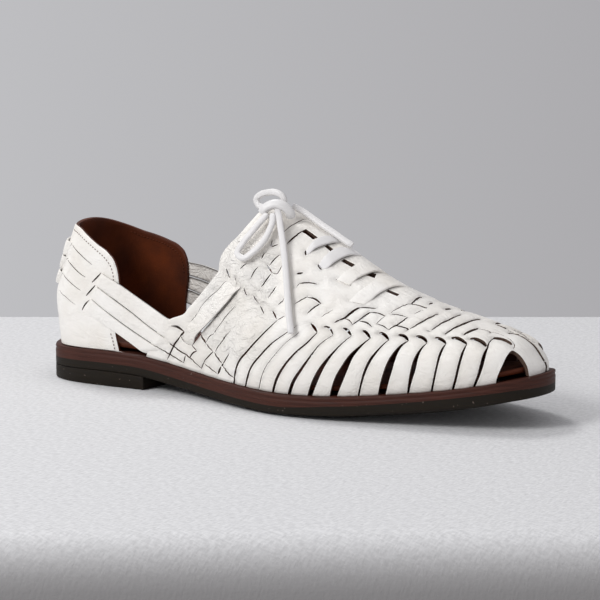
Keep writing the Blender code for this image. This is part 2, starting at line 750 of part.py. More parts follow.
# Free runs of the lace in its bow, each by points in millimetres from the heel's back
CORDS = {
    "lace_knot": ((140.7, -12.0, 97.8), (143.5, -9.9, 100.6), (146.6, -6.2, 102.4),
                  (150.1, -4.1, 101.8), (152.5, -4.2, 99.3), (152.9, -6.6, 96.6)),
    "lace_loop_top": ((139.4, -8.8, 100.4), (134.1, -6.0, 101.1), (133.2, -6.0, 104.0),
                      (137.3, -6.0, 106.7), (142.9, -6.0, 107.8), (148.2, -6.0, 107.1), (150.8, -6.0, 105.6)),
    "lace_loop_side": ((145.3, -13.8, 96.9), (141.5, -22.3, 88.1), (138.7, -26.4, 82.5), (137.6, -29.6, 77.4),
                       (141.9, -30.5, 75.4), (146.3, -28.3, 78.6), (149.7, -24.1, 83.6),
                       (150.3, -18.3, 90.0), (149.9, -15.3, 94.0)),
    "lace_end_near": ((149.9, -10.0, 98.4), (155.3, -16.0, 90.7), (161.3, -22.4, 81.9), (167.6, -29.7, 71.6),
                      (173.2, -36.6, 61.4), (178.1, -42.4, 51.2), (182.1, -46.4, 42.0)),
    "lace_end_far": ((151.7, 3.0, 99.8), (154.4, 7.0, 98.1), (160.5, 9.5, 94.0), (169.9, 10.0, 88.2),
                     (178.6, 10.5, 83.7), (182.7, 10.5, 81.9)),
}
CORD_THICK = {"lace_knot": 4.0}
CORD_SPACING = 5.0


def crossing_solid(lateral, medial):
    """A flat lace that rises out of one eyelet, arches over the slit and ends at the other."""
    v = np.linspace(0, 1, 9)
    swell = np.sin(np.pi * v)
    x = lateral[0] + (medial[0] - lateral[0]) * v
    t = lateral[1] + (medial[1] - lateral[1]) * v
    half = CROSSING_WIDE / 2 * (0.55 + 0.45 * swell)
    floor = JOIN + 1.2 * swell
    edge = [(-half, floor), (half, floor), (half, floor + 0.9), (half * 0.5, floor + 1.9),
            (-half * 0.5, floor + 1.9), (-half, floor + 0.9)]
    return block(np.stack([on_last(x + shift, t, lift) for shift, lift in edge], 1))


def add_cord(name, knots, material):
    length = np.linalg.norm(np.diff(knots, axis=0), axis=1).sum()
    points = to_world(smooth_route(knots, int(length / CORD_SPACING) + 2))
    curve = bpy.data.curves.new(name, "CURVE")
    curve.dimensions = "3D"
    curve.bevel_depth = CORD_THICK.get(name, LACE_THICK) / 2 * MM
    curve.bevel_resolution = 2
    curve.use_fill_caps = True
    curve.materials.append(material)
    spline = curve.splines.new("POLY")
    spline.points.add(len(points) - 1)
    for place, point in zip(spline.points, points):
        place.co = (*point, 1)
    bpy.context.scene.collection.objects.link(bpy.data.objects.new(name, curve))


def make_lace():
    leather = plain_material("white_lace", (0.82, 0.80, 0.77), 0.45)
    for name, (lateral, medial) in CROSSINGS.items():
        add_object(name, *crossing_solid(lateral, medial), leather)
    for name, knots in CORDS.items():
        add_cord(name, knots, leather)


def clear_scene():
    for obj in list(bpy.data.objects):
        bpy.data.objects.remove(obj, do_unlink=True)


clear_scene()
make_sole()
make_upper()
make_lace()
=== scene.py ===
import bpy
import numpy as np
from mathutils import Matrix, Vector


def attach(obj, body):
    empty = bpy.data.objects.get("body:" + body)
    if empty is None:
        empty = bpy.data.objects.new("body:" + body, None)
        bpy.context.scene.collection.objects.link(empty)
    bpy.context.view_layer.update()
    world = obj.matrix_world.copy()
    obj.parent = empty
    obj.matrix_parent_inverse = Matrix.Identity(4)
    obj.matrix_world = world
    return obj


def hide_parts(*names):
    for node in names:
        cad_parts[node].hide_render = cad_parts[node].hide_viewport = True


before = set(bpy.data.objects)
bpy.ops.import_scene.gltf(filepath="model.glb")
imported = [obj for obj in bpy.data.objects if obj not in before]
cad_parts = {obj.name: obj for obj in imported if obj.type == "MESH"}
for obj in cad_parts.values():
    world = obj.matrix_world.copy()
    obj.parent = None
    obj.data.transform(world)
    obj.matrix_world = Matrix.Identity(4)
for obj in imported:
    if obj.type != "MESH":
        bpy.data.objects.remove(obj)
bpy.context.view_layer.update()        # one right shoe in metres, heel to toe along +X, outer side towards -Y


def table(columns, *rows):
    # rows of numbers, as one array for each named column
    return dict(zip(columns.split(), np.array(rows, float).T))


# the shoe's own sizes, in millimetres
shoe = {"length": 302.0, "heelLength": 78.0, "outsole": 6.6, "welt": 4.0, "join": 0.3, "heelShift": 2.2,
        "toeEnd": 298.0, "wingFront": 60.0, "leanFades": 110.0}

outline = table(
    "x lateral medial",
    (0, 0, 0), (6, 19.5, 19), (15, 29.5, 28), (30, 34.6, 32.5), (50, 35.3, 33.2), (78, 33.6, 30),
    (103, 35.2, 27.5), (128, 41, 28), (153, 48, 33), (178, 51.5, 41), (203, 49, 48.5), (223, 44.5, 50.5),
    (243, 39.8, 48), (263, 34.6, 41), (278, 29.8, 34), (290, 23.6, 25), (297.5, 15.8, 16.5), (302, 0, 0))
soleUnder = table(
    "x z",
    (0, 7.4), (78, 7.2), (103, 4.2), (128, 1.8), (153, 0.5), (170, 0), (198, 0.7), (218, 2.3), (238, 4.7),
    (258, 7.5), (277, 10.9), (292, 14.2), (302, 16.3))
last = table(
    "x crestY crestZ fullLateral fullMedial wall shoulder dip",
    (0, 0, 140, 5.4, 5.4, 0.50, 0.80, 0), (45, 0, 140, 5.4, 5.4, 0.50, 0.80, 0),
    (80, 1, 128, 4.5, 3.6, 0.50, 0.66, 0), (105, 3, 114, 2.7, 2.7, 0.54, 0.54, 0),
    (130, 5, 104.5, 2.7, 2.7, 0.52, 0.48, 0), (160, 6, 92, 4.5, 2.7, 0.50, 0.48, 0),
    (185, 6, 79.5, 6.3, 3.6, 0.50, 0.50, 1.5), (210, 5, 67.5, 8.1, 5.4, 0.52, 0.54, 3.4),
    (235, 3.5, 57.5, 8.1, 7.2, 0.56, 0.60, 2.2), (260, 2, 49.5, 7.2, 7.2, 0.62, 0.66, 0.3),
    (280, 1, 44.5, 5.4, 5.4, 0.68, 0.72, 0), (292, 0.5, 40, 3.6, 3.6, 0.72, 0.74, 0),
    (299, 0, 33.5, 1.8, 1.8, 0.72, 0.74, 0), (302, 0, 30, 0.9, 0.9, 0.72, 0.74, 0))
weltShows = table("x width", (0, 2.2), (60, 2.6), (110, 3), (170, 4.2), (302, 4.2))
heelCurve = table("z x", (10, 2.5), (30, 0.7), (45, -0.6), (60, 4), (75, 9), (84, 12.5), (92, 15), (110, 20))


def hermite(values, slope, step, i, t):
    # cubic from row i to the next, at share t of the step, with the rows' values and slopes
    near = values[i] * (2 * t**3 - 3 * t**2 + 1) + slope[i] * step[i] * (t**3 - 2 * t**2 + t)
    return near + values[i + 1] * (3 * t**2 - 2 * t**3) + slope[i + 1] * step[i] * (t**3 - t**2)


def follow(data, column, key, at):
    # cubic between neighbouring rows, with the slope held down so that it never overshoots
    knots, values = data[key], data[column]
    step = np.diff(knots)
    rise = np.diff(values) / step
    slope = np.concatenate([rise[:1], np.zeros(len(knots) - 2), rise[-1:]])
    blend = (rise[:-1] * step[1:] + rise[1:] * step[:-1]) / (step[:-1] + step[1:])
    slope[1:-1] = np.where(rise[:-1] * rise[1:] > 0, blend, 0.0)
    at = np.clip(at, knots[0], knots[-1])
    i = np.clip(np.searchsorted(knots, at, side="right") - 1, 0, len(step) - 1)
    return hermite(values, slope, step, i, (at - knots[i]) / step[i])


def smoothStep(low, high, at):
    # 0 below low, 1 above high, and an S curve between
    s = np.clip((np.asarray(at, float) - low) / (high - low), 0, 1)
    return s * s * (3 - 2 * s)


def turnOf(x):
    # share of a half turn from heel to toe, so that both ends of the outline stay round
    return np.arccos(np.clip(1 - 2 * np.asarray(x, float) / shoe["length"], -1, 1)) / np.pi


def xOf(turn):
    # the way back: x from the share of a half turn
    return shoe["length"] * (1 - np.cos(np.pi * np.asarray(turn, float))) / 2


outline["turn"] = turnOf(outline["x"])


def halfWidth(x, medial):
    # the outline's half width on one side, followed by turn and not by x
    turn = turnOf(x)
    return np.where(medial, follow(outline, "medial", "turn", turn), follow(outline, "lateral", "turn", turn))


def underside(x):
    # height of the outsole's underside
    return follow(soleUnder, "z", "x", x)


def seat(x):
    # top of the welt: the underside, the two layers and a join under each
    return underside(x) + shoe["outsole"] + shoe["welt"] + 2 * shoe["join"]


def placed(x):
    # the upper's length laid along the sole, in proportion, from heelShift to toeEnd
    return shoe["heelShift"] + np.asarray(x, float) * (shoe["toeEnd"] - shoe["heelShift"]) / shoe["length"]


def lastSeat(x):
    # top of the welt under the section at x
    return seat(placed(x))


def section(x, t):
    # each half of a cross-section is a cubic Bezier from the foot, t = -1 or 1, over to the crest, t = 0
    medial = t > 0
    width = halfWidth(x, medial)
    foot = width * (1 - follow(weltShows, "width", "x", x) / 45)
    crest = follow(last, "crestY", "x", x) * np.clip(width / 30, 0, 1)
    full = np.where(medial, follow(last, "fullMedial", "x", x), follow(last, "fullLateral", "x", x))
    full = full * np.clip(width / 34, 0, 1)
    side = np.where(medial, 1.0, -1.0)
    reach = foot - side * crest
    rise = follow(last, "crestZ", "x", x) - lastSeat(x)
    p = 1 - np.abs(t)
    b0, b1, b2, b3 = (1 - p) ** 3, 3 * p * (1 - p) ** 2, 3 * p * p * (1 - p), p**3
    across = b0 * reach + b1 * (reach + full) + b2 * follow(last, "shoulder", "x", x) * reach
    # the inner side falls away sooner just past the crest
    dip = follow(last, "dip", "x", x) * smoothStep(-0.12, 0.14, t) * (1 - smoothStep(0.25, 0.75, t))
    return crest + side * across, (lastSeat(x) + b1 * follow(last, "wall", "x", x) * rise + (b2 + b3) * rise
                                   - dip)


def lastPoint(x, t):
    # the section at x, leaned forward by the heel's curve, which fades evenly to nothing at leanFades
    x, t = np.broadcast_arrays(np.asarray(x, float), np.asarray(t, float))
    y, z = section(x, t)
    lean = follow(heelCurve, "x", "z", z) * np.clip(1 - x / shoe["leanFades"], 0, 1)
    return np.stack([placed(x) + lean, y, z], -1)


def tAtHeight(x, z, side):
    # where the section at x reaches height z, by halving
    x, z, side = np.broadcast_arrays(*(np.asarray(v, float) for v in (x, z, side)))
    low, high = np.zeros(x.shape), np.ones(x.shape)
    for _ in range(24):
        between = (low + high) / 2
        above = section(x, side * between)[1] > z
        low, high = np.where(above, between, low), np.where(above, high, between)
    return side * (low + high) / 2


def lifted(place, a, b, lift):
    # place(a, b) moved along the cross product of its two tangents by lift
    step = 4e-3
    along = place(a + step, b) - place(a - step, b)
    across = place(a, b + step) - place(a, b - step)
    normal = np.cross(along, across)
    normal /= np.linalg.norm(normal, axis=-1, keepdims=True)
    return place(a, b) + normal * lift[..., None]


def onLast(x, t, lift=0.0):
    # the last's surface at x and t, raised by lift along its normal
    x, t, lift = np.broadcast_arrays(*(np.asarray(v, float) for v in (x, t, lift)))
    return lifted(lastPoint, np.clip(x, 0.05, shoe["length"] - 0.05), t, lift)


def heelPoint(z, turn):
    # round the heel: turn is -1 and 1 at the fronts of the wings and 0 at the back
    x = np.maximum(shoe["wingFront"] * turn**2, 1e-8)
    return lastPoint(x, tAtHeight(x, z, np.where(turn < 0, -1.0, 1.0)))


def onHeel(z, turn, lift=0.0):
    # the heel's surface at height z and turn, raised by lift along its normal
    z, turn, lift = np.broadcast_arrays(*(np.asarray(v, float) for v in (z, turn, lift)))
    return lifted(heelPoint, z, turn, lift)


def planSide(xs, side):
    # the outline's corners on one side: x, and the half width with the side's sign
    return np.stack([xs, side * halfWidth(xs, side > 0)], -1)


coarseTurns = xOf(np.linspace(0, 1, 25))
coarseLoop = np.concatenate([planSide(coarseTurns, -1), planSide(coarseTurns, 1)[-2:0:-1]])
middle = np.array([*(coarseLoop.min(axis=0) + coarseLoop.max(axis=0)) / 2, 0])


def toWorld(points):
    # millimetres from the heel's back to metres from the middle of the sole
    return (np.asarray(points, float) - middle) * 0.001


def smoothRoute(knots, count):
    # points evenly spread along a cubic curve through the knots
    knots = np.array(knots, float)
    s = np.concatenate([[0], np.cumsum(np.linalg.norm(np.diff(knots, axis=0), axis=1))])
    step = np.diff(s)[:, None]
    rise = np.diff(knots, axis=0) / step
    blend = (rise[:-1] * step[1:] + rise[1:] * step[:-1]) / (step[:-1] + step[1:])
    slope = np.concatenate([rise[:1], blend, rise[-1:]])
    at = np.linspace(0, s[-1], count)
    i = np.clip(np.searchsorted(s, at, side="right") - 1, 0, len(step) - 1)
    return hermite(knots, slope, step, i, ((at - s[i]) / step[i, 0])[:, None])


def surfaceRoute(path, count, stretch=100):
    # a smooth route over a surface; its second coordinate, a share, is stretched to weigh like millimetres
    return smoothRoute(np.array(path, float) * (1, stretch), count) / (1, stretch)


# the camera's turn and height are in degrees, its distance and target in millimetres
view = {"turn": 33.5, "height": 8.2, "distance": 1050.0, "target": (156.7, 0.0, 51.2), "lens": 120.0}


def setCamera():
    # distance away from the target, along the direction that turn and height give, looking back along it
    turn, height = np.radians(view["turn"]), np.radians(view["height"])
    away = np.array([np.sin(turn) * np.cos(height), -np.cos(turn) * np.cos(height), np.sin(height)])
    spot = toWorld(np.array(view["target"]) + away * view["distance"])
    data = bpy.data.cameras.new("camera")
    data.lens, data.sensor_width = view["lens"], 36
    data.clip_start, data.clip_end = 0.05, 20
    camera = bpy.data.objects.new("camera", data)
    camera.location = spot
    camera.rotation_euler = Vector(-away).to_track_quat("-Z", "Y").to_euler()
    bpy.context.scene.collection.objects.link(camera)
    bpy.context.scene.camera = camera


setCamera()
bpy.context.scene.view_settings.view_transform = "Standard"
print("camera set")


def addMesh(name, points, faces, materials, slots=None, marks=None, world=False, sharp=50):
    # faces is a list of index arrays, one for each number of corners
    mesh = bpy.data.meshes.new(name)
    points = np.asarray(points, float) if world else toWorld(points)
    corners = np.concatenate([f.ravel() for f in faces]).astype(np.int32)
    sizes = np.concatenate([np.full(len(f), f.shape[1]) for f in faces])
    mesh.vertices.add(len(points))
    mesh.vertices.foreach_set("co", points.astype(np.float32).ravel())
    mesh.loops.add(len(corners))
    mesh.loops.foreach_set("vertex_index", corners)
    mesh.polygons.add(len(sizes))
    mesh.polygons.foreach_set("loop_start", (np.cumsum(sizes) - sizes).astype(np.int32))
    if slots is not None:
        mesh.polygons.foreach_set("material_index", np.asarray(slots, np.int32))
    mesh.update(calc_edges=True)
    for mark, values in (marks or {}).items():
        attribute = mesh.attributes.new(mark, "FLOAT", "POINT")
        attribute.data.foreach_set("value", np.asarray(values, np.float32))
    mesh.validate()
    mesh.shade_smooth()
    mesh.set_sharp_from_angle(angle=np.radians(sharp))
    for material in materials:
        mesh.materials.append(material)
    obj = bpy.data.objects.new(name, mesh)
    bpy.context.scene.collection.objects.link(obj)
    return obj


def outward(points, faces):
    # six times the volume is the sum of the triple products of every face's fan of triangles
    total = 0.0
    for f in faces:
        for k in range(1, f.shape[1] - 1):
            total += np.einsum("ij,ij->", points[f[:, 0]], np.cross(points[f[:, k]], points[f[:, k + 1]]))
    return faces if total > 0 else [f[:, ::-1] for f in faces]


def ringQuads(count, corners):
    # numbers of the corners, ring by ring, and a quad from each corner to the next ring and corner
    index = np.arange(count * corners).reshape(count, corners)
    after = np.roll(index, -1, axis=1)
    return index, np.stack([index[:-1], after[:-1], after[1:], index[1:]], -1).reshape(-1, 4)


def tube(rings):
    # closed solid from rings of points, shape (rings, corners, 3): walls of quads and two end caps
    index, quads = ringQuads(*rings.shape[:2])
    caps = np.stack([index[0][::-1], index[-1]])
    points = rings.reshape(-1, 3)
    return points, outward(points - points.mean(axis=0), [quads, caps])


def gathered(parts):
    # several solids as one list of points and faces, with their marks end to end
    points, groups, marks, start = [], {}, [], 0
    for somePoints, someFaces, someMarks in parts:
        points.append(somePoints)
        marks.append(someMarks)
        for f in someFaces:
            groups.setdefault(f.shape[1], []).append(f + start)
        start += len(somePoints)
    return np.concatenate(points), [np.concatenate(g) for g in groups.values()], np.concatenate(marks)


def shell(outer, inner, joined=False, wallSlot=0):
    # leather wall between two grids of points: both faces, and a border of quads between them;
    # joined closes the last column on itself, first row to last
    rows, columns = outer.shape[:2]
    count = rows * columns
    corner = np.arange(count).reshape(rows, columns)

    def ring(i, j):
        return np.stack([corner[i, j], corner[i, j + 1], corner[i + 1, j + 1], corner[i + 1, j]], 1)

    kept = np.ones((rows - 1, columns - 1), bool)
    cells = ring(*np.nonzero(kept))
    walls = []
    framed = np.pad(kept, 1)
    beyond = (framed[:-2, 1:-1], framed[1:-1, 2:], framed[2:, 1:-1], framed[1:-1, :-2])
    for side, neighbour in enumerate(beyond):
        border = kept & ~neighbour
        if joined and side == 1:
            border[:, -1] = False
        edge = ring(*np.nonzero(border))
        a, b = edge[:, side], edge[:, (side + 1) % 4]
        walls.append(np.stack([b, a, a + count, b + count], 1))
    walls = np.concatenate(walls)
    faces = np.concatenate([cells, walls, cells[:, ::-1] + count])
    slots = np.concatenate([np.zeros(len(cells)), np.full(len(walls), wallSlot), np.ones(len(cells))])
    points = np.concatenate([outer.reshape(-1, 3), inner.reshape(-1, 3)])
    if joined:
        same = np.arange(2 * count)
        mirrored = corner[rows // 2 + 1:, -1]
        same[mirrored] = corner[:rows // 2, -1][::-1]
        same[mirrored + count] = same[mirrored] + count
        faces = same[faces]
    used, faces = np.unique(faces, return_inverse=True)
    faces = faces.reshape(-1, 4)
    return points[used], outward(points[used] - points[used].mean(axis=0), [faces]), slots, used


def srgb(code):
    # sRGB hex to linear light
    c = np.array([int(code[i:i + 2], 16) for i in (1, 3, 5)]) / 255
    c = np.where(c <= 0.04045, c / 12.92, ((c + 0.055) / 1.055) ** 2.4)
    return (*c.tolist(), 1.0)


def addNode(tree, kind, settings=None, **inputs):
    # a shader node; each input is a value or a socket, named in words or, as n0 and n1, by its number
    made = tree.nodes.new("ShaderNode" + kind)
    for key, value in (settings or {}).items():
        setattr(made, key, value)
    for key, value in inputs.items():
        socket = made.inputs[int(key[1:]) if key[0] == "n" and key[1:].isdigit() else key.replace("_", " ")]
        if isinstance(value, bpy.types.NodeSocket):
            tree.links.new(value, socket)
        else:
            socket.default_value = value
    return made


def newMaterial(name, **constants):
    # a material with these constants on its shader, and the object's own coordinates
    material = bpy.data.materials.new(name)
    material.use_nodes = True
    tree = material.node_tree
    shader = tree.nodes["Principled BSDF"]
    for key, value in constants.items():
        shader.inputs[key.replace("_", " ")].default_value = value
    return material, tree, shader, tree.nodes.new("ShaderNodeTexCoord").outputs["Object"]


def mixed(tree, factor, a, b):
    # colour a plus factor times the way from a to b
    made = tree.nodes.new("ShaderNodeMix")
    made.data_type = "RGBA"
    for socket, value in ((made.inputs[0], factor), (made.inputs[6], a), (made.inputs[7], b)):
        if isinstance(value, bpy.types.NodeSocket):
            tree.links.new(value, socket)
        else:
            socket.default_value = value
    return made.outputs[2]


def spread(tree, value, low, high, toLow=0.0, toHigh=1.0):
    # low to high stretched evenly over toLow to toHigh, and held at both ends
    return addNode(tree, "MapRange", {"clamp": True}, Value=value, From_Min=low, From_Max=high,
                   To_Min=toLow, To_Max=toHigh).outputs[0]


def embossed(tree, shader, height, strength, distance):
    # height as a bump on the shader's normal
    bump = addNode(tree, "Bump", Strength=strength, Distance=distance, Height=height)
    tree.links.new(bump.outputs[0], shader.inputs["Normal"])


# one colour here, the dark brown, is painted shade, mixed into the leather and lace beside the slits and
# under the strips
whites = {"clean": "#F6F3EE", "warm": "#EEE9E1", "paintedShade": "#2E211B", "lace": "#ECEAE9",
          "laceShade": "#DAD8D7"}


def milledWhiteLeather():
    # full-grain calf, tumbled soft: off-white with a faint warm cast, a fine pebble and long
    # soft wrinkles that catch the light, and painted shade, dark brown, beside the slits, where the strips
    # duck under one another and along the strips' lower edges
    material, tree, shader, place = newMaterial("milled_white_calf", IOR=1.47, Metallic=0.0, Coat_Weight=0.08,
                                                Coat_Roughness=0.35)
    cast = addNode(tree, "TexNoise", n0=place, Scale=38.0, Detail=3.0).outputs[0]
    colour = mixed(tree, spread(tree, cast, 0.35, 0.7), srgb(whites["clean"]), srgb(whites["warm"]))
    # painted shade: the mesh's mark mixes the dark brown in beside the slits and under the strips
    shadeStrength = addNode(tree, "Attribute", {"attribute_name": "paintedShade"}).outputs["Fac"]
    colour = mixed(tree, shadeStrength, colour, srgb(whites["paintedShade"]))
    tree.links.new(colour, shader.inputs["Base Color"])
    pebble = addNode(tree, "TexVoronoi", {"feature": "SMOOTH_F1"}, n0=place, Scale=850.0).outputs[0]
    stretched = addNode(tree, "Mapping", n0=place, Rotation=(0.3, 0.5, 0.6), Scale=(1.0, 2.6, 1.6)).outputs[0]
    wrinkle = addNode(tree, "TexNoise", n0=stretched, Scale=95.0, Detail=7.0, Roughness=0.62,
                      Distortion=0.9).outputs[0]
    fine = addNode(tree, "Bump", Strength=0.22, Distance=0.0002, Height=pebble).outputs[0]
    rough = addNode(tree, "Bump", Strength=0.5, Distance=0.0025, Height=wrinkle, Normal=fine).outputs[0]
    # a net of sharp little folds where the foot bends, marked on the mesh as crinkle
    fold = addNode(tree, "TexNoise", n0=stretched, Scale=120.0, Detail=3.0, Roughness=0.5,
                   Distortion=1.4).outputs[0]
    fold = addNode(tree, "Math", {"operation": "SUBTRACT"}, n0=fold, n1=0.5).outputs[0]
    fold = addNode(tree, "Math", {"operation": "ABSOLUTE"}, n0=fold).outputs[0]
    where = addNode(tree, "Attribute", {"attribute_name": "crinkle"}).outputs["Fac"]
    folds = addNode(tree, "Bump", Strength=where, Distance=0.003, Height=fold, Normal=rough).outputs[0]
    tree.links.new(folds, shader.inputs["Normal"])
    tree.links.new(spread(tree, wrinkle, 0.3, 0.7, 0.4, 0.56), shader.inputs["Roughness"])
    return material


def smoothWhiteLace():
    # thin coated leather cord: a cooler white than the upper, with a low even gloss
    material, tree, shader, place = newMaterial("coated_white_lace", IOR=1.48, Metallic=0.0, Coat_Weight=0.12,
                                                Coat_Roughness=0.3)
    cast = addNode(tree, "TexNoise", n0=place, Scale=160.0, Detail=3.0).outputs[0]
    # painted shade: the same mark mixes the dark brown into the flat crossings where they lie low and along
    # their lower edges
    shadeStrength = addNode(tree, "Attribute", {"attribute_name": "paintedShade"}).outputs["Fac"]
    colour = mixed(tree, cast, srgb(whites["lace"]), srgb(whites["laceShade"]))
    tree.links.new(mixed(tree, shadeStrength, colour, srgb(whites["paintedShade"])), shader.inputs["Base Color"])
    grain = addNode(tree, "TexNoise", n0=place, Scale=1400.0, Detail=2.0).outputs[0]
    embossed(tree, shader, grain, 0.2, 0.0002)
    tree.links.new(spread(tree, cast, 0.3, 0.7, 0.38, 0.5), shader.inputs["Roughness"])
    return material


browns = {"lining": "#662D10", "liningDeep": "#3A1504", "edge": "#6A5447", "edgeDeep": "#3E2D24",
          "welt": "#48251B", "weltDeep": "#351911", "sole": "#1D1509", "soleDeep": "#120C05",
          "speck": "#6E6058", "thread": "#6E5F58", "threadPale": "#978780"}


def oiledBrownLining():
    # vegetable-tanned lining leather: tan-brown, dull, with a short nap and darker rubbed clouds
    material, tree, shader, place = newMaterial("tan_lining_leather", IOR=1.45, Specular_IOR_Level=0.3,
                                                Metallic=0.0, Sheen_Weight=0.02, Sheen_Roughness=0.5)
    cloud = addNode(tree, "TexNoise", n0=place, Scale=45.0, Detail=4.0).outputs[0]
    tree.links.new(mixed(tree, spread(tree, cloud, 0.3, 0.7), srgb(browns["lining"]),
                         srgb(browns["liningDeep"])),
                   shader.inputs["Base Color"])
    nap = addNode(tree, "TexNoise", n0=place, Scale=1800.0, Detail=4.0).outputs[0]
    embossed(tree, shader, nap, 0.3, 0.0003)
    tree.links.new(spread(tree, cloud, 0.3, 0.7, 0.5, 0.66), shader.inputs["Roughness"])
    return material


def edgeMaterial(name, light, dark, low, high, specks):
    # cut leather edge, sanded, inked and waxed: fine lengthwise fibres, a soft gloss and pale dust
    material, tree, shader, place = newMaterial(name, IOR=1.42, Specular_IOR_Level=0.3, Metallic=0.0)
    along = addNode(tree, "Mapping", n0=place, Scale=(60.0, 60.0, 1500.0)).outputs[0]
    fibre = addNode(tree, "TexNoise", n0=along, Scale=1.0, Detail=5.0).outputs[0]
    colour = mixed(tree, spread(tree, fibre, 0.3, 0.7), srgb(dark), srgb(light))
    dot = addNode(tree, "TexNoise", n0=place, Scale=750.0, Detail=0.0).outputs[0]
    colour = mixed(tree, spread(tree, dot, specks, specks + 0.03, 0.0, 0.6), colour, srgb(browns["speck"]))
    tree.links.new(colour, shader.inputs["Base Color"])
    embossed(tree, shader, fibre, 0.3, 0.0003)
    tree.links.new(spread(tree, fibre, 0.3, 0.7, low, high), shader.inputs["Roughness"])
    return material


def skivedEdge():
    # cut through the upper: pale tan fibres, roughened, browned with edge dye and painted darker as the shade
    # down in the narrow slits
    material, tree, shader, place = newMaterial("skived_leather_edge", IOR=1.45, Metallic=0.0, Roughness=0.8)
    fibre = addNode(tree, "TexNoise", n0=place, Scale=1600.0, Detail=3.0).outputs[0]
    tree.links.new(mixed(tree, spread(tree, fibre, 0.3, 0.7), srgb(browns["edgeDeep"]), srgb(browns["edge"])),
                   shader.inputs["Base Color"])
    embossed(tree, shader, fibre, 0.3, 0.0003)
    return material


def stitchThread():
    # waxed polyester thread gone grey-pink in its holes, with its twist
    material, tree, shader, place = newMaterial("waxed_thread", IOR=1.5, Metallic=0.0)
    twist = addNode(tree, "TexNoise", n0=place, Scale=2500.0, Detail=1.0).outputs[0]
    tree.links.new(mixed(tree, twist, srgb(browns["thread"]), srgb(browns["threadPale"])),
                   shader.inputs["Base Color"])
    tree.links.new(spread(tree, twist, 0.3, 0.7, 0.45, 0.6), shader.inputs["Roughness"])
    return material


def paleLinen(name, light, dark):
    # plain bench cloth: a close linen weave, matt and pale, with slubs, and painted shade mixed in where the
    # mesh's shade mark is set
    material, tree, shader, place = newMaterial(name, IOR=1.45, Metallic=0.0, Roughness=0.9)
    warp = addNode(tree, "Mapping", n0=place, Scale=(900.0, 260.0, 260.0)).outputs[0]
    weft = addNode(tree, "Mapping", n0=place, Scale=(260.0, 900.0, 900.0)).outputs[0]
    a = addNode(tree, "TexNoise", n0=warp, Scale=1.0, Detail=2.0).outputs[0]
    b = addNode(tree, "TexNoise", n0=weft, Scale=1.0, Detail=2.0).outputs[0]
    weave = addNode(tree, "Math", {"operation": "ADD"}, n0=a, n1=b).outputs[0]
    colour = mixed(tree, spread(tree, weave, 0.75, 1.25), srgb(dark), srgb(light))
    shade = addNode(tree, "Attribute", {"attribute_name": "shade"}).outputs["Fac"]
    tree.links.new(mixed(tree, shade, colour, srgb(bench["front"])), shader.inputs["Base Color"])
    embossed(tree, shader, weave, 0.35, 0.0006)
    return material


whiteLeather = milledWhiteLeather()
whiteLace = smoothWhiteLace()
lining = oiledBrownLining()
weltEdge = edgeMaterial("reddish_welt_edge", browns["welt"], browns["weltDeep"], 0.5, 0.64, 0.84)
soleEdge = edgeMaterial("black_sole_edge", browns["sole"], browns["soleDeep"], 0.56, 0.72, 0.80)
cutEdge = skivedEdge()
thread = stitchThread()
print("materials made")

bow = {
    "width": 3.4, "flat": 0.74, "step": 1.2,
    "lace_knot": {"width": 5.2, "route": (
        (140.9, -12.5, 97.2), (142.5, -11.8, 99.4), (144.8, -10.8, 101.1), (147.6, -9.8, 102.0),
        (150.6, -8.8, 101.7), (153.0, -7.6, 100.1), (154.6, -6.6, 97.8), (155.0, -5.4, 95.0))},
    "lace_loop_top": {"route": (
        (140.0, -9.0, 99.8), (134.4, -6.4, 100.9), (133.1, -6.0, 103.5), (135.8, -6.0, 106.0),
        (140.6, -6.0, 107.5), (145.7, -6.0, 107.7), (149.4, -5.6, 106.0), (150.6, -5.0, 102.6))},
    "lace_loop_side": {"route": (
        (145.3, -13.8, 96.9), (141.5, -22.3, 88.1), (138.7, -26.4, 82.5), (137.6, -29.6, 77.4),
        (141.9, -30.5, 75.4), (146.3, -28.3, 78.6), (149.7, -24.1, 83.6), (150.3, -18.3, 90.0),
        (149.9, -15.3, 94.0), (148.0, -12.8, 97.0))},
    "lace_end_near": {"route": (
        (147.7, -8.6, 100.2), (150.8, -11.4, 97.2), (155.3, -16.0, 90.7), (161.3, -22.4, 81.9),
        (167.6, -29.7, 71.6), (173.2, -36.6, 61.4), (178.1, -42.4, 51.2), (182.1, -46.4, 42.0))},
    "lace_end_far": {"route": (
        (151.2, 1.2, 100.4), (155.4, 3.4, 98.0), (160.5, 4.0, 95.1), (168.0, 4.0, 91.0),
        (175.9, 4.0, 87.0), (182.6, 4.0, 83.3), (186.4, 4.2, 81.6))},
}


def laceTube(name, route, width, flat, facing):
    # an oval section carried along the route: its long side lies across the route and its
    # short side looks along facing, and both ends are cut square with rounded rims
    length = np.linalg.norm(np.diff(route, axis=0), axis=1).sum()
    path = smoothRoute(route, int(length / bow["step"]) + 3)
    run = np.gradient(path, axis=0)
    run /= np.linalg.norm(run, axis=1, keepdims=True)
    across = np.cross(np.array(facing, float), run)
    across /= np.linalg.norm(across, axis=1, keepdims=True)
    up = np.cross(run, across)
    angle = np.linspace(0, 2 * np.pi, 20, endpoint=False)
    oval = np.stack([np.sign(np.cos(angle)) * np.abs(np.cos(angle)) ** 0.75,
                     np.sign(np.sin(angle)) * np.abs(np.sin(angle)) ** 0.75 * flat], -1)
    swell = np.ones(len(path))
    swell[[0, -1]] = 0.8
    rings = path[:, None] + width / 2 * swell[:, None, None] * (
        oval[None, :, :1] * across[:, None] + oval[None, :, 1:] * up[:, None])
    points, faces = tube(rings)
    obj = addMesh(name, points, faces, [whiteLace])
    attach(obj, "root")
    return obj, path


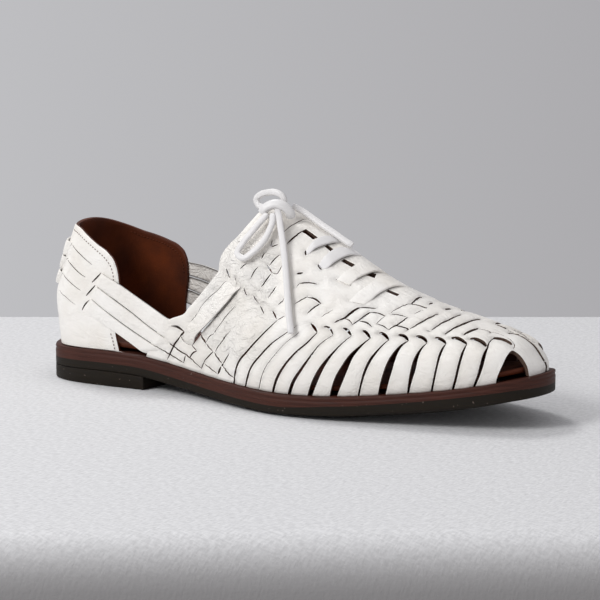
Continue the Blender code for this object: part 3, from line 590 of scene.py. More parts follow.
def tieBow():
    # the knot, then the loops and ends: each is a cord as long as the sum of its route's steps
    facings = {"lace_knot": (0.2, -0.75, 0.6), "lace_loop_top": (0.1, -1, 0.25),
               "lace_loop_side": (0.1, -0.8, 0.6), "lace_end_near": (0.3, -0.75, 0.6),
               "lace_end_far": (0.1, -0.8, 0.55)}
    knot, _ = laceTube("bow_knot", bow["lace_knot"]["route"], bow["lace_knot"]["width"], bow["flat"],
                       facings["lace_knot"])
    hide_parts("lace_knot")
    for name, ends, lay in (("lace_loop_top", "object", "loose"), ("lace_loop_side", "object", "hanging"),
                            ("lace_end_near", "bare", "hanging"), ("lace_end_far", "bare", "loose")):
        obj, path = laceTube("bow_" + name[5:], bow[name]["route"], bow["width"], bow["flat"], facings[name])
        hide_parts(name)
        path = toWorld(path)


tieBow()
print("bow tied")

soleShape = {
    "steps": 180, "heelSteps": 110,
    # each edge from its foot up: how far in, in mm, and how high, as a share of the layer
    "weltEdge": ((0.02, -0.06), (0, 0.06), (0, 0.2), (0.05, 0.3), (0.18, 0.38), (0.27, 0.45), (0.27, 0.52),
                 (0.18, 0.6), (0.06, 0.68), (0.03, 0.82), (0.2, 0.93), (0.6, 1)),
    "outsoleEdge": ((7, 0), (0.5, 0), (0.2, 0.03), (0.06, 0.09), (0, 0.16), (0, 0.5), (0, 0.68), (0, 0.7),
                    (0.04, 1)),
    "heelEdge": ((0.7, 0), (0.25, 0.04), (0, 0.1), (0, 0.9), (0, 0.98), (0.03, 1.02)),
    "insoleEdge": ((0.5, 0), (0, 0.25), (0, 0.7), (0.35, 0.93), (1.1, 1)),
    "insoleLift": 2.05, "insoleThick": 2.6, "insoleInset": 2.5,
    # how far the outsole's rim is rolled up, in the rows of its edge that lie within rollWithin of it
    "roll": table("x rise", (0, 0), (95, 0), (130, 0.9), (160, 1.2), (200, 1.5), (250, 1.8), (285, 0.9),
                  (302, 0.2)),
    "rollWithin": 5,
    # the share of its height up to which the outsole is black; the edge rows in dyeRows are moved to it
    "dyeLine": table("x share", (0, 0.69), (175, 0.69), (208, 0.97), (285, 0.95), (296, 0.85), (302, 0.69)),
    "dyed": 0.69, "dyeRows": (0.6, 0.8),
}


def drawnIn(points, ahead, inset):
    # plan points moved by inset to the left of the direction in which they run
    left = np.stack([-ahead[:, 1], ahead[:, 0]], -1)
    return points + left / np.linalg.norm(left, axis=-1, keepdims=True) * inset


def insetLoop(loop, inset):
    # every corner of a closed loop moved inwards, square to the line between its neighbours
    return drawnIn(loop, np.roll(loop, -1, axis=0) - np.roll(loop, 1, axis=0), inset)


def insetSide(xs, side, inset):
    # the upper's foot line on one side, drawn in towards the middle
    points = lastPoint(xs, side)[:, :2]
    return drawnIn(points, np.gradient(points, axis=0), -side * inset)


def layer(name, start, end, steps, edge, low, thick, material, replaced, sideOf=planSide):
    # the outline stacked at every row of the edge table, closed by strips that run across it
    shape, outsole = soleShape, name == "leather_outsole"
    xs = xOf(np.linspace(turnOf(start), turnOf(end), steps + 1))
    lateral, medial = sideOf(xs, -1), sideOf(xs, 1)[::-1]
    medial = medial[:-1] if start < 1e-6 else medial
    medial = medial[1:] if end > shoe["length"] - 1e-6 else medial
    loop = np.concatenate([lateral, medial])
    grid = []
    for inset, share in edge:
        ring = insetLoop(loop, inset)
        if outsole and shape["dyeRows"][0] < share < shape["dyeRows"][1]:
            share = share - shape["dyed"] + follow(shape["dyeLine"], "share", "x", ring[:, 0])
        z = low(ring[:, 0]) + share * thick(ring[:, 0])
        if outsole and inset < shape["rollWithin"]:
            z = z + (1 - share) * follow(shape["roll"], "rise", "x", ring[:, 0])
        grid.append(np.concatenate([ring, z[:, None]], -1))
    grid = np.stack(grid)
    rings, corners = grid.shape[:2]
    _, quads = ringQuads(rings, corners)
    opposite = 0 if start < 1e-6 else -1
    k = np.arange(steps)
    strip = np.stack([k, k + 1, (opposite - k - 1) % corners, (opposite - k) % corners], 1)
    proper = (strip[:, 0] != strip[:, 3]) & (strip[:, 1] != strip[:, 2])
    top, triangles = strip[proper] + (rings - 1) * corners, []
    faces = [quads, strip[proper][:, ::-1], top]
    for row in strip[~proper]:
        corner = list(dict.fromkeys(row.tolist()))
        if len(corner) == 3:
            triangles += [corner[::-1], [v + (rings - 1) * corners for v in corner]]
    faces = [np.concatenate(faces)] + ([np.array(triangles)] if triangles else [])
    points = grid.reshape(-1, 3)
    slots = np.zeros(sum(map(len, faces)))
    if outsole:
        dyed = np.repeat(np.array([share for _, share in edge[:-1]]) > shape["dyed"] - 0.01, corners)
        slots[:len(dyed)] = dyed
    obj = addMesh(name, points, outward(points, faces), [material, weltEdge], slots, sharp=40)
    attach(obj, "root")
    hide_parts(replaced)
    return obj


def makeSole():
    # heel, outsole, welt and insole: each starts at a height and is as thick as its two functions of x say
    s = soleShape
    layer("stacked_heel", 0, shoe["heelLength"], s["heelSteps"], s["heelEdge"], lambda x: 0 * x,
          lambda x: underside(x) - shoe["join"], soleEdge, "heel_block")
    layer("leather_outsole", 0, shoe["length"], s["steps"], s["outsoleEdge"], underside,
          lambda x: 0 * x + shoe["outsole"], soleEdge, "outsole")
    layer("storm_welt", 0, shoe["length"], s["steps"], s["weltEdge"],
          lambda x: underside(x) + shoe["outsole"] + shoe["join"], lambda x: 0 * x + shoe["welt"], weltEdge,
          "welt")
    layer("leather_insole", 0, shoe["length"], s["steps"], s["insoleEdge"],
          lambda x: seat(x) + s["insoleLift"], lambda x: 0 * x + s["insoleThick"],
          lining, "insole", sideOf=lambda xs, side: insetSide(xs, side, s["insoleInset"]))


makeSole()
print("sole made")

# Most of the places in the tables from here on, and many in heelCurve and in the bow's routes, were
# worked out with separate scripts that aren't kept. Some were then changed. They don't follow from
# the sizes above.

# the vamp's back edge, from the crest down to the welt
backEdge = table(
    "t x", (0, 137.5), (0.2, 137), (0.256, 136.3), (0.33, 134.6), (0.398, 132.2), (0.454, 129.1),
    (0.506, 126.4), (0.545, 125.5), (0.575, 125.6), (0.593, 126.2), (0.617, 124.6), (0.665, 120.9),
    (0.709, 116.9), (0.752, 112.5), (0.79, 108), (0.82, 104.4), (0.845, 97), (0.865, 92), (0.92, 85),
    (0.96, 81), (1, 78))

# Cuts through the upper, each with its width in mm (one number, or one for every knot), how deep
# it opens, how far the leather on its left (+) or right (-) dives under the other side, and its
# path of (x, t). First the gaps between the fingers, from the welt up
gaps = (
    ((1.4, 1.2, 1.2, 1.0, 0.8, 0.5), 1.0, 0, ((143.8, 1.03), (148.7, 0.91), (155.1, 0.85), (162.1, 0.78),
                                              (168.0, 0.715), (171.4, 0.672))),
    ((1.3, 1.1, 1.1, 0.9, 0.6, 0.3), 1.0, 0, ((152.4, 1.03), (158.3, 0.91), (164.3, 0.85), (171.2, 0.78),
                                              (176.4, 0.734), (183.5, 0.665))),
    ((0.7, 0.4, 0.3, 0.3, 0.3), 0.8, 0, ((162.2, 1.03), (167.0, 0.913), (173.7, 0.829), (179.5, 0.759),
                                         (186, 0.69))),
    ((1.5, 1.6, 1.3, 1.1, 0.9, 0.6), 1.0, 0, ((171.6, 1.03), (176.0, 0.93), (180.7, 0.86), (186.2, 0.79),
                                              (192.2, 0.72), (195.8, 0.657))),
    ((2.0, 1.9, 1.6, 1.0, 0.5, 0.25), 1.0, 0, ((181.7, 1.03), (186.2, 0.93), (190.2, 0.87), (195.0, 0.79),
                                               (198.8, 0.72), (204.6, 0.645))),
    ((2.6, 3.1, 2.5, 1.4, 0.7, 0.4), 1.0, 0, ((193.6, 1.03), (198.3, 0.92), (201.8, 0.845), (205.8, 0.77),
                                              (210.2, 0.69), (214.1, 0.62))),
    ((3.6, 4.8, 4.0, 2.6, 1.2, 0.5), 1.0, 0, ((206.6, 1.03), (211.4, 0.90), (214.1, 0.83), (216.9, 0.75),
                                              (220.8, 0.67), (224.1, 0.60))),
    ((1.0, 1.1, 1.4, 1.5, 1.0, 0.5), 1.0, 0, ((220.2, 1.03), (223.0, 0.92), (224.9, 0.84), (227.1, 0.76),
                                              (230.4, 0.67), (233.5, 0.583))),
    ((3.9, 4.3, 4.3, 3.5, 2.1, 1.2, 0.5), 1.0, 0, ((232.3, 1.03), (235.0, 0.92), (236.9, 0.83), (238.4, 0.74),
                                                   (239.9, 0.66), (241.5, 0.60), (243.4, 0.552))),
    ((0.9, 1.8, 2.7, 2.1, 1.2, 0.5), 1.0, 0, ((245.9, 1.03), (248.2, 0.91), (249.8, 0.80), (250.5, 0.70),
                                              (251.4, 0.62), (252.9, 0.53))),
    ((1.0, 1.1, 1.1, 1.3, 1.1, 0.5), 1.0, 0, ((257.8, 1.03), (260.0, 0.91), (261.3, 0.78), (261.7, 0.65),
                                              (261.9, 0.55), (262.1, 0.495))),
    ((1.2, 1.3, 1.3, 1.3, 1.0, 0.5), 1.0, 0, ((268.2, 1.03), (270.6, 0.91), (271.9, 0.77), (272.3, 0.64),
                                              (272.2, 0.54), (271.9, 0.448))),
    ((1.2, 1.5, 1.9, 1.8, 1.0, 0.7, 0.5), 1.0, 0, ((278.4, 1.03), (281.3, 0.88), (282.4, 0.74), (282.5, 0.62),
                                                   (281.9, 0.43), (281.0, 0.31), (280.6, 0.215))),
)
# the hooked slits where the fingers' heads go under the band above them
hooks = (
    (0.60, 1.0, -0.6, ((167.0, -0.641), (169.2, -0.655), (170.9, -0.668))),
    (0.90, 1.0, -0.6, ((191.0, -0.623), (193.2, -0.635), (195.8, -0.655))),
    (0.60, 0.8, -0.6, ((198.6, -0.615), (201.1, -0.608), (203.1, -0.622), (204.8, -0.642))),
    (0.90, 1.0, -0.7, ((208.7, -0.586), (210.6, -0.587), (212.5, -0.601), (214.2, -0.617))),
    (0.95, 1.0, -0.7, ((218.9, -0.566), (220.3, -0.567), (222.3, -0.582), (224.2, -0.602))),
    (0.95, 1.0, -0.7, ((227.5, -0.549), (229.7, -0.546), (231.4, -0.557), (233.7, -0.581))),
    (0.95, 1.0, -0.7, ((237.5, -0.524), (239.8, -0.517), (241.7, -0.527), (243.5, -0.550))),
    (1.00, 1.0, -0.7, ((246.3, -0.492), (249.2, -0.490), (251.4, -0.505), (253.0, -0.527))),
    (1.00, 1.0, -0.7, ((255.5, -0.458), (257.8, -0.456), (260.2, -0.469), (262.1, -0.492))),
    (1.05, 1.0, -0.7, ((263.1, -0.410), (265.7, -0.396), (268.9, -0.414), (271.9, -0.446))),
    (1.10, 1.0, -0.7, ((271.8, -0.364), (273.8, -0.344), (277.2, -0.360), (281.3, -0.418))),
    (0.90, 1.0, -0.7, ((280.6, -0.213), (284.3, -0.182), (286.9, -0.189), (289.8, -0.201))),
)
slits = (
    # strip ends in a row across the instep
    (0.55, 1.0, 0.5, ((130.6, -0.570), (134.0, -0.600))),
    (0.60, 1.0, 0.5, ((137.8, -0.587), (141.3, -0.610))),
    (0.65, 1.0, 0.5, ((144.8, -0.607), (148.3, -0.630))),
    (0.60, 1.0, 0.5, ((152.7, -0.618), (157.3, -0.637))),
    (0.40, 0.6, 0.4, ((158.8, -0.645), (162.7, -0.672))),
    (0.60, 1.0, 0.5, ((167.0, -0.641), (170.1, -0.661))),
    (0.40, 0.5, 0.3, ((171.6, -0.671), (175.5, -0.638))),
    # short slits above them
    (0.60, 1.0, -0.4, ((142.7, -0.499), (139.7, -0.540))),
    (0.55, 0.8, -0.4, ((150.7, -0.486), (149.3, -0.511), (148.1, -0.557))),
    (0.60, 1.0, -0.4, ((159.6, -0.485), (158.2, -0.521), (156.2, -0.567))),
    (0.50, 0.9, -0.4, ((165.1, -0.526), (163.8, -0.566), (162.2, -0.596))),
    (0.50, 0.9, -0.4, ((171.9, -0.561), (171.3, -0.581), (169.6, -0.603))),
    (0.50, 0.8, 0.4, ((155.1, -0.455), (160.0, -0.478))),
    (0.55, 0.8, -0.4, ((160.0, -0.372), (158.5, -0.403), (156.6, -0.453))),
    (0.50, 0.8, -0.3, ((151.1, -0.408), (150.8, -0.445))),
    (0.40, 0.5, -0.3, ((163.8, -0.418), (162.6, -0.473), (160.0, -0.478))),
    (0.50, 0.8, -0.3, ((152.0, -0.319), (153.3, -0.354), (156.4, -0.325))),
    # edges of the facing and of the straps that climb to the instep
    (0.45, 0.7, 0.5, ((110.9, -0.833), (114.9, -0.793))),
    (0.35, 0.3, 0.4, ((114.9, -0.793), (118.9, -0.748), (128.8, -0.660), (133.8, -0.601))),
    (0.45, 0.8, 0.6, ((111.6, -0.910), (114.5, -0.883), (118.1, -0.860))),
    (0.35, 0.4, 0.3, ((122.0, -0.888), (126.5, -0.848), (128.4, -0.840))),
    (0.35, 0.3, 0.3, ((128.4, -0.840), (137.0, -0.748), (141.9, -0.698))),
    (0.45, 0.7, 0.4, ((130.0, -0.903), (135.0, -0.853), (140.9, -0.798))),
    (0.55, 0.9, 0.4, ((135.6, -0.943), (141.1, -0.888))),
    # second row of the weave
    (0.50, 0.8, -0.4, ((184.4, -0.495), (181.8, -0.527), (179.1, -0.560))),
    (0.40, 0.6, 0.3, ((176.5, -0.482), (177.2, -0.454), (181.4, -0.423), (186.4, -0.405))),
    (0.65, 1.0, 0.5, ((177.2, -0.454), (181.4, -0.423), (186.4, -0.405))),
    (0.55, 0.9, -0.4, ((173.4, -0.414), (176.4, -0.390))),
    (0.65, 1.0, 0.5, ((184.4, -0.499), (187.9, -0.489), (192.4, -0.496))),
    (0.65, 1.0, -0.4, ((192.4, -0.496), (189.9, -0.534), (187.4, -0.580))),
    (0.35, 0.4, -0.4, ((199.9, -0.505), (195.4, -0.571))),
    (0.45, 0.6, -0.4, ((203.4, -0.571), (205.4, -0.546))),
    (0.75, 1.0, -0.5, ((205.4, -0.546), (207.3, -0.525), (209.4, -0.476), (212.4, -0.413))),
    (0.65, 1.0, 0.5, ((212.4, -0.413), (215.9, -0.395), (220.0, -0.374))),
    (0.70, 1.0, 0.5, ((204.9, -0.406), (208.4, -0.390), (212.7, -0.381))),
    (0.40, 0.5, 0.3, ((207.3, -0.525), (210.4, -0.527), (212.7, -0.546))),
    (0.55, 0.9, -0.5, ((212.7, -0.546), (214.9, -0.506), (218.4, -0.416))),
    (0.60, 1.0, 0.5, ((218.4, -0.416), (221.9, -0.404), (226.5, -0.403))),
    (0.55, 0.9, 0.4, ((215.4, -0.506), (219.8, -0.504), (222.6, -0.519))),
    (0.30, 0.4, -0.4, ((226.5, -0.403), (224.2, -0.487))),
    (0.45, 0.7, 0.4, ((224.2, -0.487), (228.4, -0.489), (231.4, -0.505))),
    (0.50, 0.8, -0.4, ((231.4, -0.505), (234.4, -0.439), (237.1, -0.340))),
    (0.70, 1.0, 0.5, ((228.7, -0.368), (232.4, -0.349), (237.1, -0.340))),
    (0.65, 1.0, 0.5, ((233.3, -0.449), (236.9, -0.446), (240.9, -0.450), (240.4, -0.465))),
    (0.50, 0.8, -0.4, ((241.4, -0.440), (243.4, -0.383), (246.0, -0.267), (247.7, -0.162))),
    (0.50, 0.9, 0.3, ((249.5, -0.410), (251.5, -0.404))),
    # bars over the crest
    (0.55, 0.9, -0.4, ((160.4, -0.293), (161.9, -0.208), (163.0, -0.145))),
    (0.30, 0.3, -0.3, ((154.5, -0.285), (157.1, -0.115), (157.5, 0.000))),
    (0.70, 1.0, -0.5, ((193.3, -0.318), (196.9, -0.305), (200.9, -0.302))),
    (0.80, 1.0, 0.0, ((171.2, -0.264), (172.9, -0.290))),
    (0.80, 1.0, 0.0, ((180.9, -0.298), (184.0, -0.314))),
    (0.30, 0.3, -0.3, ((227.9, -0.360), (230.5, -0.264), (232.9, -0.187))),
    (0.60, 0.9, -0.4, ((233.1, -0.197), (232.6, -0.122), (231.6, -0.020))),
    (0.35, 0.4, -0.3, ((240.4, -0.199), (238.5, -0.284))),
    (0.60, 0.9, 0.2, ((238.7, -0.030), (239.4, -0.096))),
    (0.80, 1.0, 0.3, ((246.6, 0.040), (246.8, -0.040))),
    (0.50, 0.8, -0.4, ((251.7, -0.386), (253.4, -0.269), (254.8, -0.156), (254.4, 0.010))),
    (0.60, 0.9, -0.4, ((259.0, -0.389), (260.6, -0.272), (262.1, -0.150), (262.3, 0.100))),
    (0.75, 1.0, -0.4, ((267.5, -0.323), (268.8, -0.229), (270.2, -0.140))),
    (0.85, 1.0, 0.5, ((270.2, -0.137), (273.1, -0.123), (276.5, -0.127), (276.5, -0.147))),
    (0.50, 0.7, 0.3, ((212.9, -0.010), (213.9, -0.082))),
    # the toe: the lengthwise strap over the last finger, and the line between the two straps at the tip
    (0.35, 0.5, 0.3, ((276.5, -0.112), (279.3, -0.096), (284.9, -0.105), (290.2, -0.178), (292.0, -0.300))),
    (0.75, 1.0, -0.4, ((282.1, 0.020), (282.7, 0.061), (285.7, 0.104), (290.8, 0.137), (294.4, 0.185),
                       (297.9, 0.215), (300.1, 0.300), (300.9, 0.500), (301.15, 0.760), (301.4, 1.030))),
    (0.45, 0.8, -0.3, ((279.2, 0.190), (283.8, 0.240), (288.7, 0.225))),
)
braidSlits = (   # the same for the braid at the waist, by x and height above the welt
    (0.35, 0.7, -0.5, ((90.2, 13.3), (97.7, 9.8), (111.1, 6.0), (119.1, 2.6))),
    (0.30, 0.6, -0.4, ((85.8, 6.9), (94.8, 4.8), (105.3, 2.6))),
    (0.45, 1.0, 0.5, ((85.4, 5.9), (87.0, 10.1), (90.2, 13.3))),
    (0.35, 0.8, -0.5, ((92.8, 1.4), (94.9, 4.8), (97.9, 10.0), (102.7, 16.0))),
    (0.50, 1.0, -0.5, ((102.8, 16.2), (105.8, 19.3))),
    (0.50, 1.0, -0.5, ((105.8, 19.3), (100.8, 20.7), (96.2, 20.3))),
    (0.45, 1.0, 0.5, ((102.8, 16.2), (106.6, 14.1), (111.2, 13.2))),
    (0.30, 0.7, 0.5, ((111.2, 13.2), (115.6, 11.0))),
    (0.35, 0.7, 0.4, ((115.6, 11.0), (112.8, 9.6), (110.0, 6.0))),
    (0.35, 0.8, 0.4, ((106.4, 6.7), (105.3, 2.6))),
    (0.50, 1.0, -0.6, ((111.6, 13.2), (114.1, 16.6), (117.7, 20.2))),
    (0.50, 1.0, 0.5, ((117.7, 20.2), (122.8, 16.7))),
    (0.30, 0.5, 0.4, ((122.8, 16.7), (128.5, 13.3))),
    (0.35, 0.7, -0.4, ((128.5, 13.5), (121.6, 7.2))),
    (0.90, 1.0, 0.0, ((121.5, 7.2), (121.9, 6.8))),
    (0.40, 0.8, -0.4, ((121.6, 7.0), (120.0, 3.9), (118.7, 2.4))),
    (0.28, 0.5, 0.4, ((122.0, 5.9), (131.5, 2.5))),
    (0.35, 0.7, 0.4, ((129.1, 13.3), (135.6, 8.4))),
    (0.60, 1.0, -0.4, ((134.6, 6.8), (133.4, 4.5), (132.0, 2.3))),
    (0.85, 1.0, 0.0, ((135.6, 8.3), (136.3, 7.5))),
    (0.40, 0.8, -0.4, ((136.1, 7.4), (140.7, 4.4), (144.5, 2.8))),
)
weave = {
    # the throat between the crossings: both ends by x and t, and how wide it stands open
    "throat": ((163.0, -.135, 171.0, -.146, 3.2), (177.8, -.144, 182.8, -.151, 2.6),
               (189.5, -.171, 196.1, -.160, 3.0), (203.6, -.150, 207.8, -.125, 4.2),
               (218.5, -.197, 224.7, -.185, 2.3), (233.3, -.189, 241.1, -.166, 0.9)),
    # the raised front edge of the strap beside the facing
    "step": (0.9, 1.0, -1.0, ((112.0, -.908), (118.0, -.853), (125.8, -.784), (132.1, -.723), (137.8, -.661),
                              (141.5, -.618))),
    # the open toe on each side: t, and x of its back and front edge
    "toe": table("t back front", (1.04, 288.2, 299.9), (0.94, 289.0, 299.8), (0.86, 289.9, 299.7),
                 (0.757, 290.8, 299.5), (0.565, 291.5, 298.6), (0.46, 291.7, 297.4), (0.40, 291.9, 296.2),
                 (0.368, 292.2, 295.0), (0.352, 292.9, 294.0)),
    # the leather beside a cut: how far in mm its rounded shoulder and its dive reach, and how deep
    "shoulder": 1.6, "shoulderDrop": 0.6, "diveReach": 3.2, "diveDrop": 1.5,
    "slitWidth": 1.75, "braidWider": 1.55,   # the tables' widths times these
    # how dark the painted shade is beside a cut, and down its diving slope
    "shadeStrength": 0.42, "diveShade": 0.3,
    "reachX": 9, "reachT": 0.12,   # a cut changes the leather this far around it
    "overCrest": (-0.09, 0.6),   # a slit that reaches between these values of t lies over the crest
}
# heights in mm above the last: the wall's outside and its inside, which is deeper over the toe
vamp = {
    "top": 0.9, "under": -0.9, "toeUnder": -1.5, "toeDeepens": (280, 292), "leastWall": 0.3,
    # the next line also sets the painted shade along both foot rows, where the wall meets the welt
    "columns": 198, "rows": 179, "backRound": 0.6, "backDrop": 0.5, "footShade": 0.55,
    # the instep's folds set in and fade over these stretches of x, and over these of t on both sides
    "foldsBegin": (110, 122), "foldsEnd": (158, 176), "foldsLow": (0.3, 0.42), "foldsHigh": (0.86, 0.95),
    # how far a cutter goes past the wall, inwards, outwards and at the open toe; where a cut's depth
    # is throughFrom or less, it ends at shallow below the outside
    "past": 0.8, "over": 0.9, "toePast": 1.2, "shallow": 0.95, "throughFrom": 0.55,
}


def everyCut():
    # (width, depth, dive, x, t) for both sides; what lies over the crest is cut once only
    made = []
    low, high = weave["overCrest"]
    for rows, byHeight in ((gaps, False), (hooks, False), (slits, False), ((weave["step"],), False),
                           (braidSlits, True)):
        for wide, depth, dive, path in rows:
            x, t = np.array(path, float).T
            over = rows is slits and t.max() > low and t.min() < high
            if byHeight:
                t = tAtHeight(x, lastSeat(x) + t, -1.0)
                wide = wide * weave["braidWider"]
            t = -np.abs(t) if rows is gaps else t
            made.append((wide, depth, dive, x, t))
            if not over:
                made.append((wide, depth, -dive, x, -t))
    return made


def measure(points, x, t, pathX, pathT, lift):
    # distance in mm from every point to the path, and which side of its nearest part it lies on
    ends = onLast(pathX, pathT, lift)
    best = np.full(x.shape, 1e6)
    left = np.zeros(x.shape)
    for a, b, xa, ta, xb, tb in zip(ends, ends[1:], pathX, pathT, pathX[1:], pathT[1:]):
        run = b - a
        share = np.clip((points - a) @ run / (run @ run), 0, 1)
        gap = np.linalg.norm(points - a - share[..., None] * run, axis=-1)
        nearer = gap < best
        best = np.where(nearer, gap, best)
        left = np.where(nearer, np.sign((t - ta) * (xb - xa) - (x - xa) * (tb - ta)), left)
    return best, left


def weaveLift(x, t, top, cuts):
    # the leather's height above the last: flat, less a rounded shoulder beside each slit, less a
    # slope on the side that dives under; and painted shade, strongest beside each slit and down the diving
    # slope
    points = onLast(x, t, top)
    shoulder, dive, dark = (np.zeros(x.shape) for _ in range(3))
    farX, farT = weave["reachX"], weave["reachT"]
    for _, depth, under, pathX, pathT in cuts:
        near = ((x > pathX.min() - farX) & (x < pathX.max() + farX)
                & (t > pathT.min() - farT) & (t < pathT.max() + farT))
        away, left = measure(points[near], x[near], t[near], pathX, pathT, top)
        # painted shade that fades with the distance from the slit
        dark[near] = np.maximum(dark[near], weave["shadeStrength"] * depth * np.exp(-away))
        shoulder[near] = np.maximum(shoulder[near], np.exp(-away / weave["shoulder"]) * (0.4 + 0.6 * depth))
        slope = np.exp(-away / weave["diveReach"]) * np.abs(under) * (left * np.sign(under) > 0)
        dive[near] = np.maximum(dive[near], slope)
        # more painted shade down the diving slope
        dark[near] = np.maximum(dark[near], weave["diveShade"] * slope)
    lift = top - shoulder * weave["shoulderDrop"] - dive * weave["diveDrop"]
    return lift, np.clip(dark, 0, 1)


def cutterFor(place, path, wide, low, high, ends=0.3, taper=0.8):
    # a thin wedge along a path on the surface, narrow at its ends and foot
    stretched = np.array(path, float) * (1, 100)
    step = np.concatenate([[0], np.cumsum(np.linalg.norm(np.diff(stretched, axis=0), axis=1))])
    count = max(4, int(step[-1] / 1.1))   # a ring for about every millimetre
    route = surfaceRoute(path, count)
    base = place(route[:, 0], route[:, 1], 0.0)
    normal = place(route[:, 0], route[:, 1], 1.0) - base
    across = np.cross(normal, np.gradient(base, axis=0))
    across /= np.linalg.norm(across, axis=1, keepdims=True)
    share = np.linspace(0, 1, count)
    if np.ndim(wide):
        half = follow({"s": step / step[-1], "w": np.array(wide, float)}, "w", "s", share) / 2
    else:
        half = wide / 2 * (ends + (1 - ends) * np.sin(np.pi * share) ** 0.6)
    half = half[:, None] * across
    rings = np.stack([base - half * taper + normal * low, base + half * taper + normal * low,
                      base + half + normal * high, base - half + normal * high], 1)
    return tube(rings)


def windowCutter(edges, side, low, high):
    # the open toe: a block between its back and front edges that follows the toe's bend
    t = np.linspace(edges["t"][0], edges["t"][-1], 30)
    rising = {key: edges[key][::-1] for key in edges}
    back, front = (follow(rising, key, "t", t) for key in ("back", "front"))
    u = np.linspace(0, 1, 9)
    x = back[:, None] + (front - back)[:, None] * u
    under, over = onLast(x, side * t[:, None], low), onLast(x, side * t[:, None], high)
    return tube(np.concatenate([under, over[:, ::-1]], 1))


def cutBy(obj, cutters, name, materials, sharp=50):
    # cutters that come near one another go in different rounds, because a round's cutters mustn't cross
    boxes = [(p.min(axis=0) - 0.3, p.max(axis=0) + 0.3) for p, _ in cutters]
    rounds = []
    for k, (low, high) in enumerate(boxes):
        for group in rounds:
            if all((low > boxes[m][1]).any() or (high < boxes[m][0]).any() for m in group):
                group.append(k)
                break
        else:
            rounds.append([k])
    for group in rounds:
        points, faces, _ = gathered([(*cutters[k], np.zeros(len(cutters[k][0]))) for k in group])
        cutSlot = np.full(sum(map(len, faces)), len(materials) - 1)
        tool = addMesh(name + "_cutter", points, faces, materials, cutSlot)
        modifier = obj.modifiers.new("slits", "BOOLEAN")
        modifier.operation, modifier.solver, modifier.object = "DIFFERENCE", "MANIFOLD", tool
        graph = bpy.context.evaluated_depsgraph_get()
        mesh = bpy.data.meshes.new_from_object(obj.evaluated_get(graph))
        obj.modifiers.clear()
        old, obj.data = obj.data, mesh
        bpy.data.meshes.remove(old)
        spent = tool.data
        bpy.data.objects.remove(tool)
        bpy.data.meshes.remove(spent)
    obj.data.shade_smooth()
    obj.data.set_sharp_from_angle(angle=np.radians(sharp))
    obj.data.calc_loop_triangles()
    print(name, "cut in", len(rounds), "rounds,", len(obj.data.loop_triangles), "triangles")


def makeVamp():
    # an outer and an inner grid over the last make the wall, and thin wedges along every path cut it
    v = vamp
    cuts = everyCut()
    # even in turn from the back edge to the tip of the toe, where both halves meet
    t = np.linspace(-1, 1, v["rows"])[:, None]
    back = turnOf(follow(backEdge, "x", "t", np.abs(t)))
    x = xOf(back + (turnOf(shoe["length"] - 0.05) - back) * np.linspace(0, 1, v["columns"])[None])
    t = np.broadcast_to(t, x.shape)
    lift, dark = weaveLift(x, t, v["top"], cuts)
    rim = (x - x[:, :1]) / v["backRound"]
    lift = lift - v["backDrop"] * np.exp(-rim**2)
    # crossing sine waves, bent by a slower one, where the instep folds in walking
    folds = (smoothStep(*v["foldsBegin"], x) * (1 - smoothStep(*v["foldsEnd"], x))
             * smoothStep(*v["foldsLow"], np.abs(t)) * (1 - smoothStep(*v["foldsHigh"], np.abs(t))))
    wrinkle = folds * (0.11 * np.sin(1.3 * x + 16 * t + 2.2 * np.sin(0.45 * x + 9 * t))
                       * np.sin(34 * t - 0.6 * x)
                       + 0.12 * np.sin(0.55 * x + 9 * t) * np.sin(23 * t + 0.11 * x))
    under = v["under"] + (v["toeUnder"] - v["under"]) * smoothStep(*v["toeDeepens"], x)
    outer, inner = onLast(x, t, np.maximum(lift, under + v["leastWall"]) + wrinkle), onLast(x, t, under)
    for grid in (outer, inner):
        grid[:, -1] = (grid[:, -1] + grid[::-1, -1]) / 2
    points, faces, slotOf, used = shell(outer, inner, joined=True)
    # painted shade along both foot rows, where the wall meets the welt
    dark[[0, -1]] = v["footShade"]
    paintedShade, crinkle = (np.concatenate([mark.ravel(), 0 * mark.ravel()])[used] for mark in (dark, folds))
    obj = addMesh("woven_vamp", points, faces, [whiteLeather, lining, cutEdge], slotOf,
                  {"paintedShade": paintedShade, "crinkle": crinkle}, sharp=70)
    top = v["top"]
    cutters = []
    for wide, depth, _, x, t in cuts:
        low = v["toeUnder"] - v["past"] if depth > v["throughFrom"] else top - v["shallow"]
        wide = np.array(wide) if np.ndim(wide) else wide * weave["slitWidth"]
        cutters.append(cutterFor(onLast, np.stack([x, t], 1), wide, low, top + v["over"]))
    for x1, t1, x2, t2, wide in weave["throat"]:
        cutters.append(cutterFor(onLast, ((x1, t1), (x2, t2)), (wide * 0.95, wide * 1.05),
                                 v["under"] - v["past"], top + v["over"], taper=1))
    cutters += [windowCutter(weave["toe"], side, v["toeUnder"] - v["toePast"], top + v["toePast"])
                for side in (-1, 1)]
    cutBy(obj, cutters, "vamp", [whiteLeather, lining, cutEdge])
    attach(obj, "root")
    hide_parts("upper")


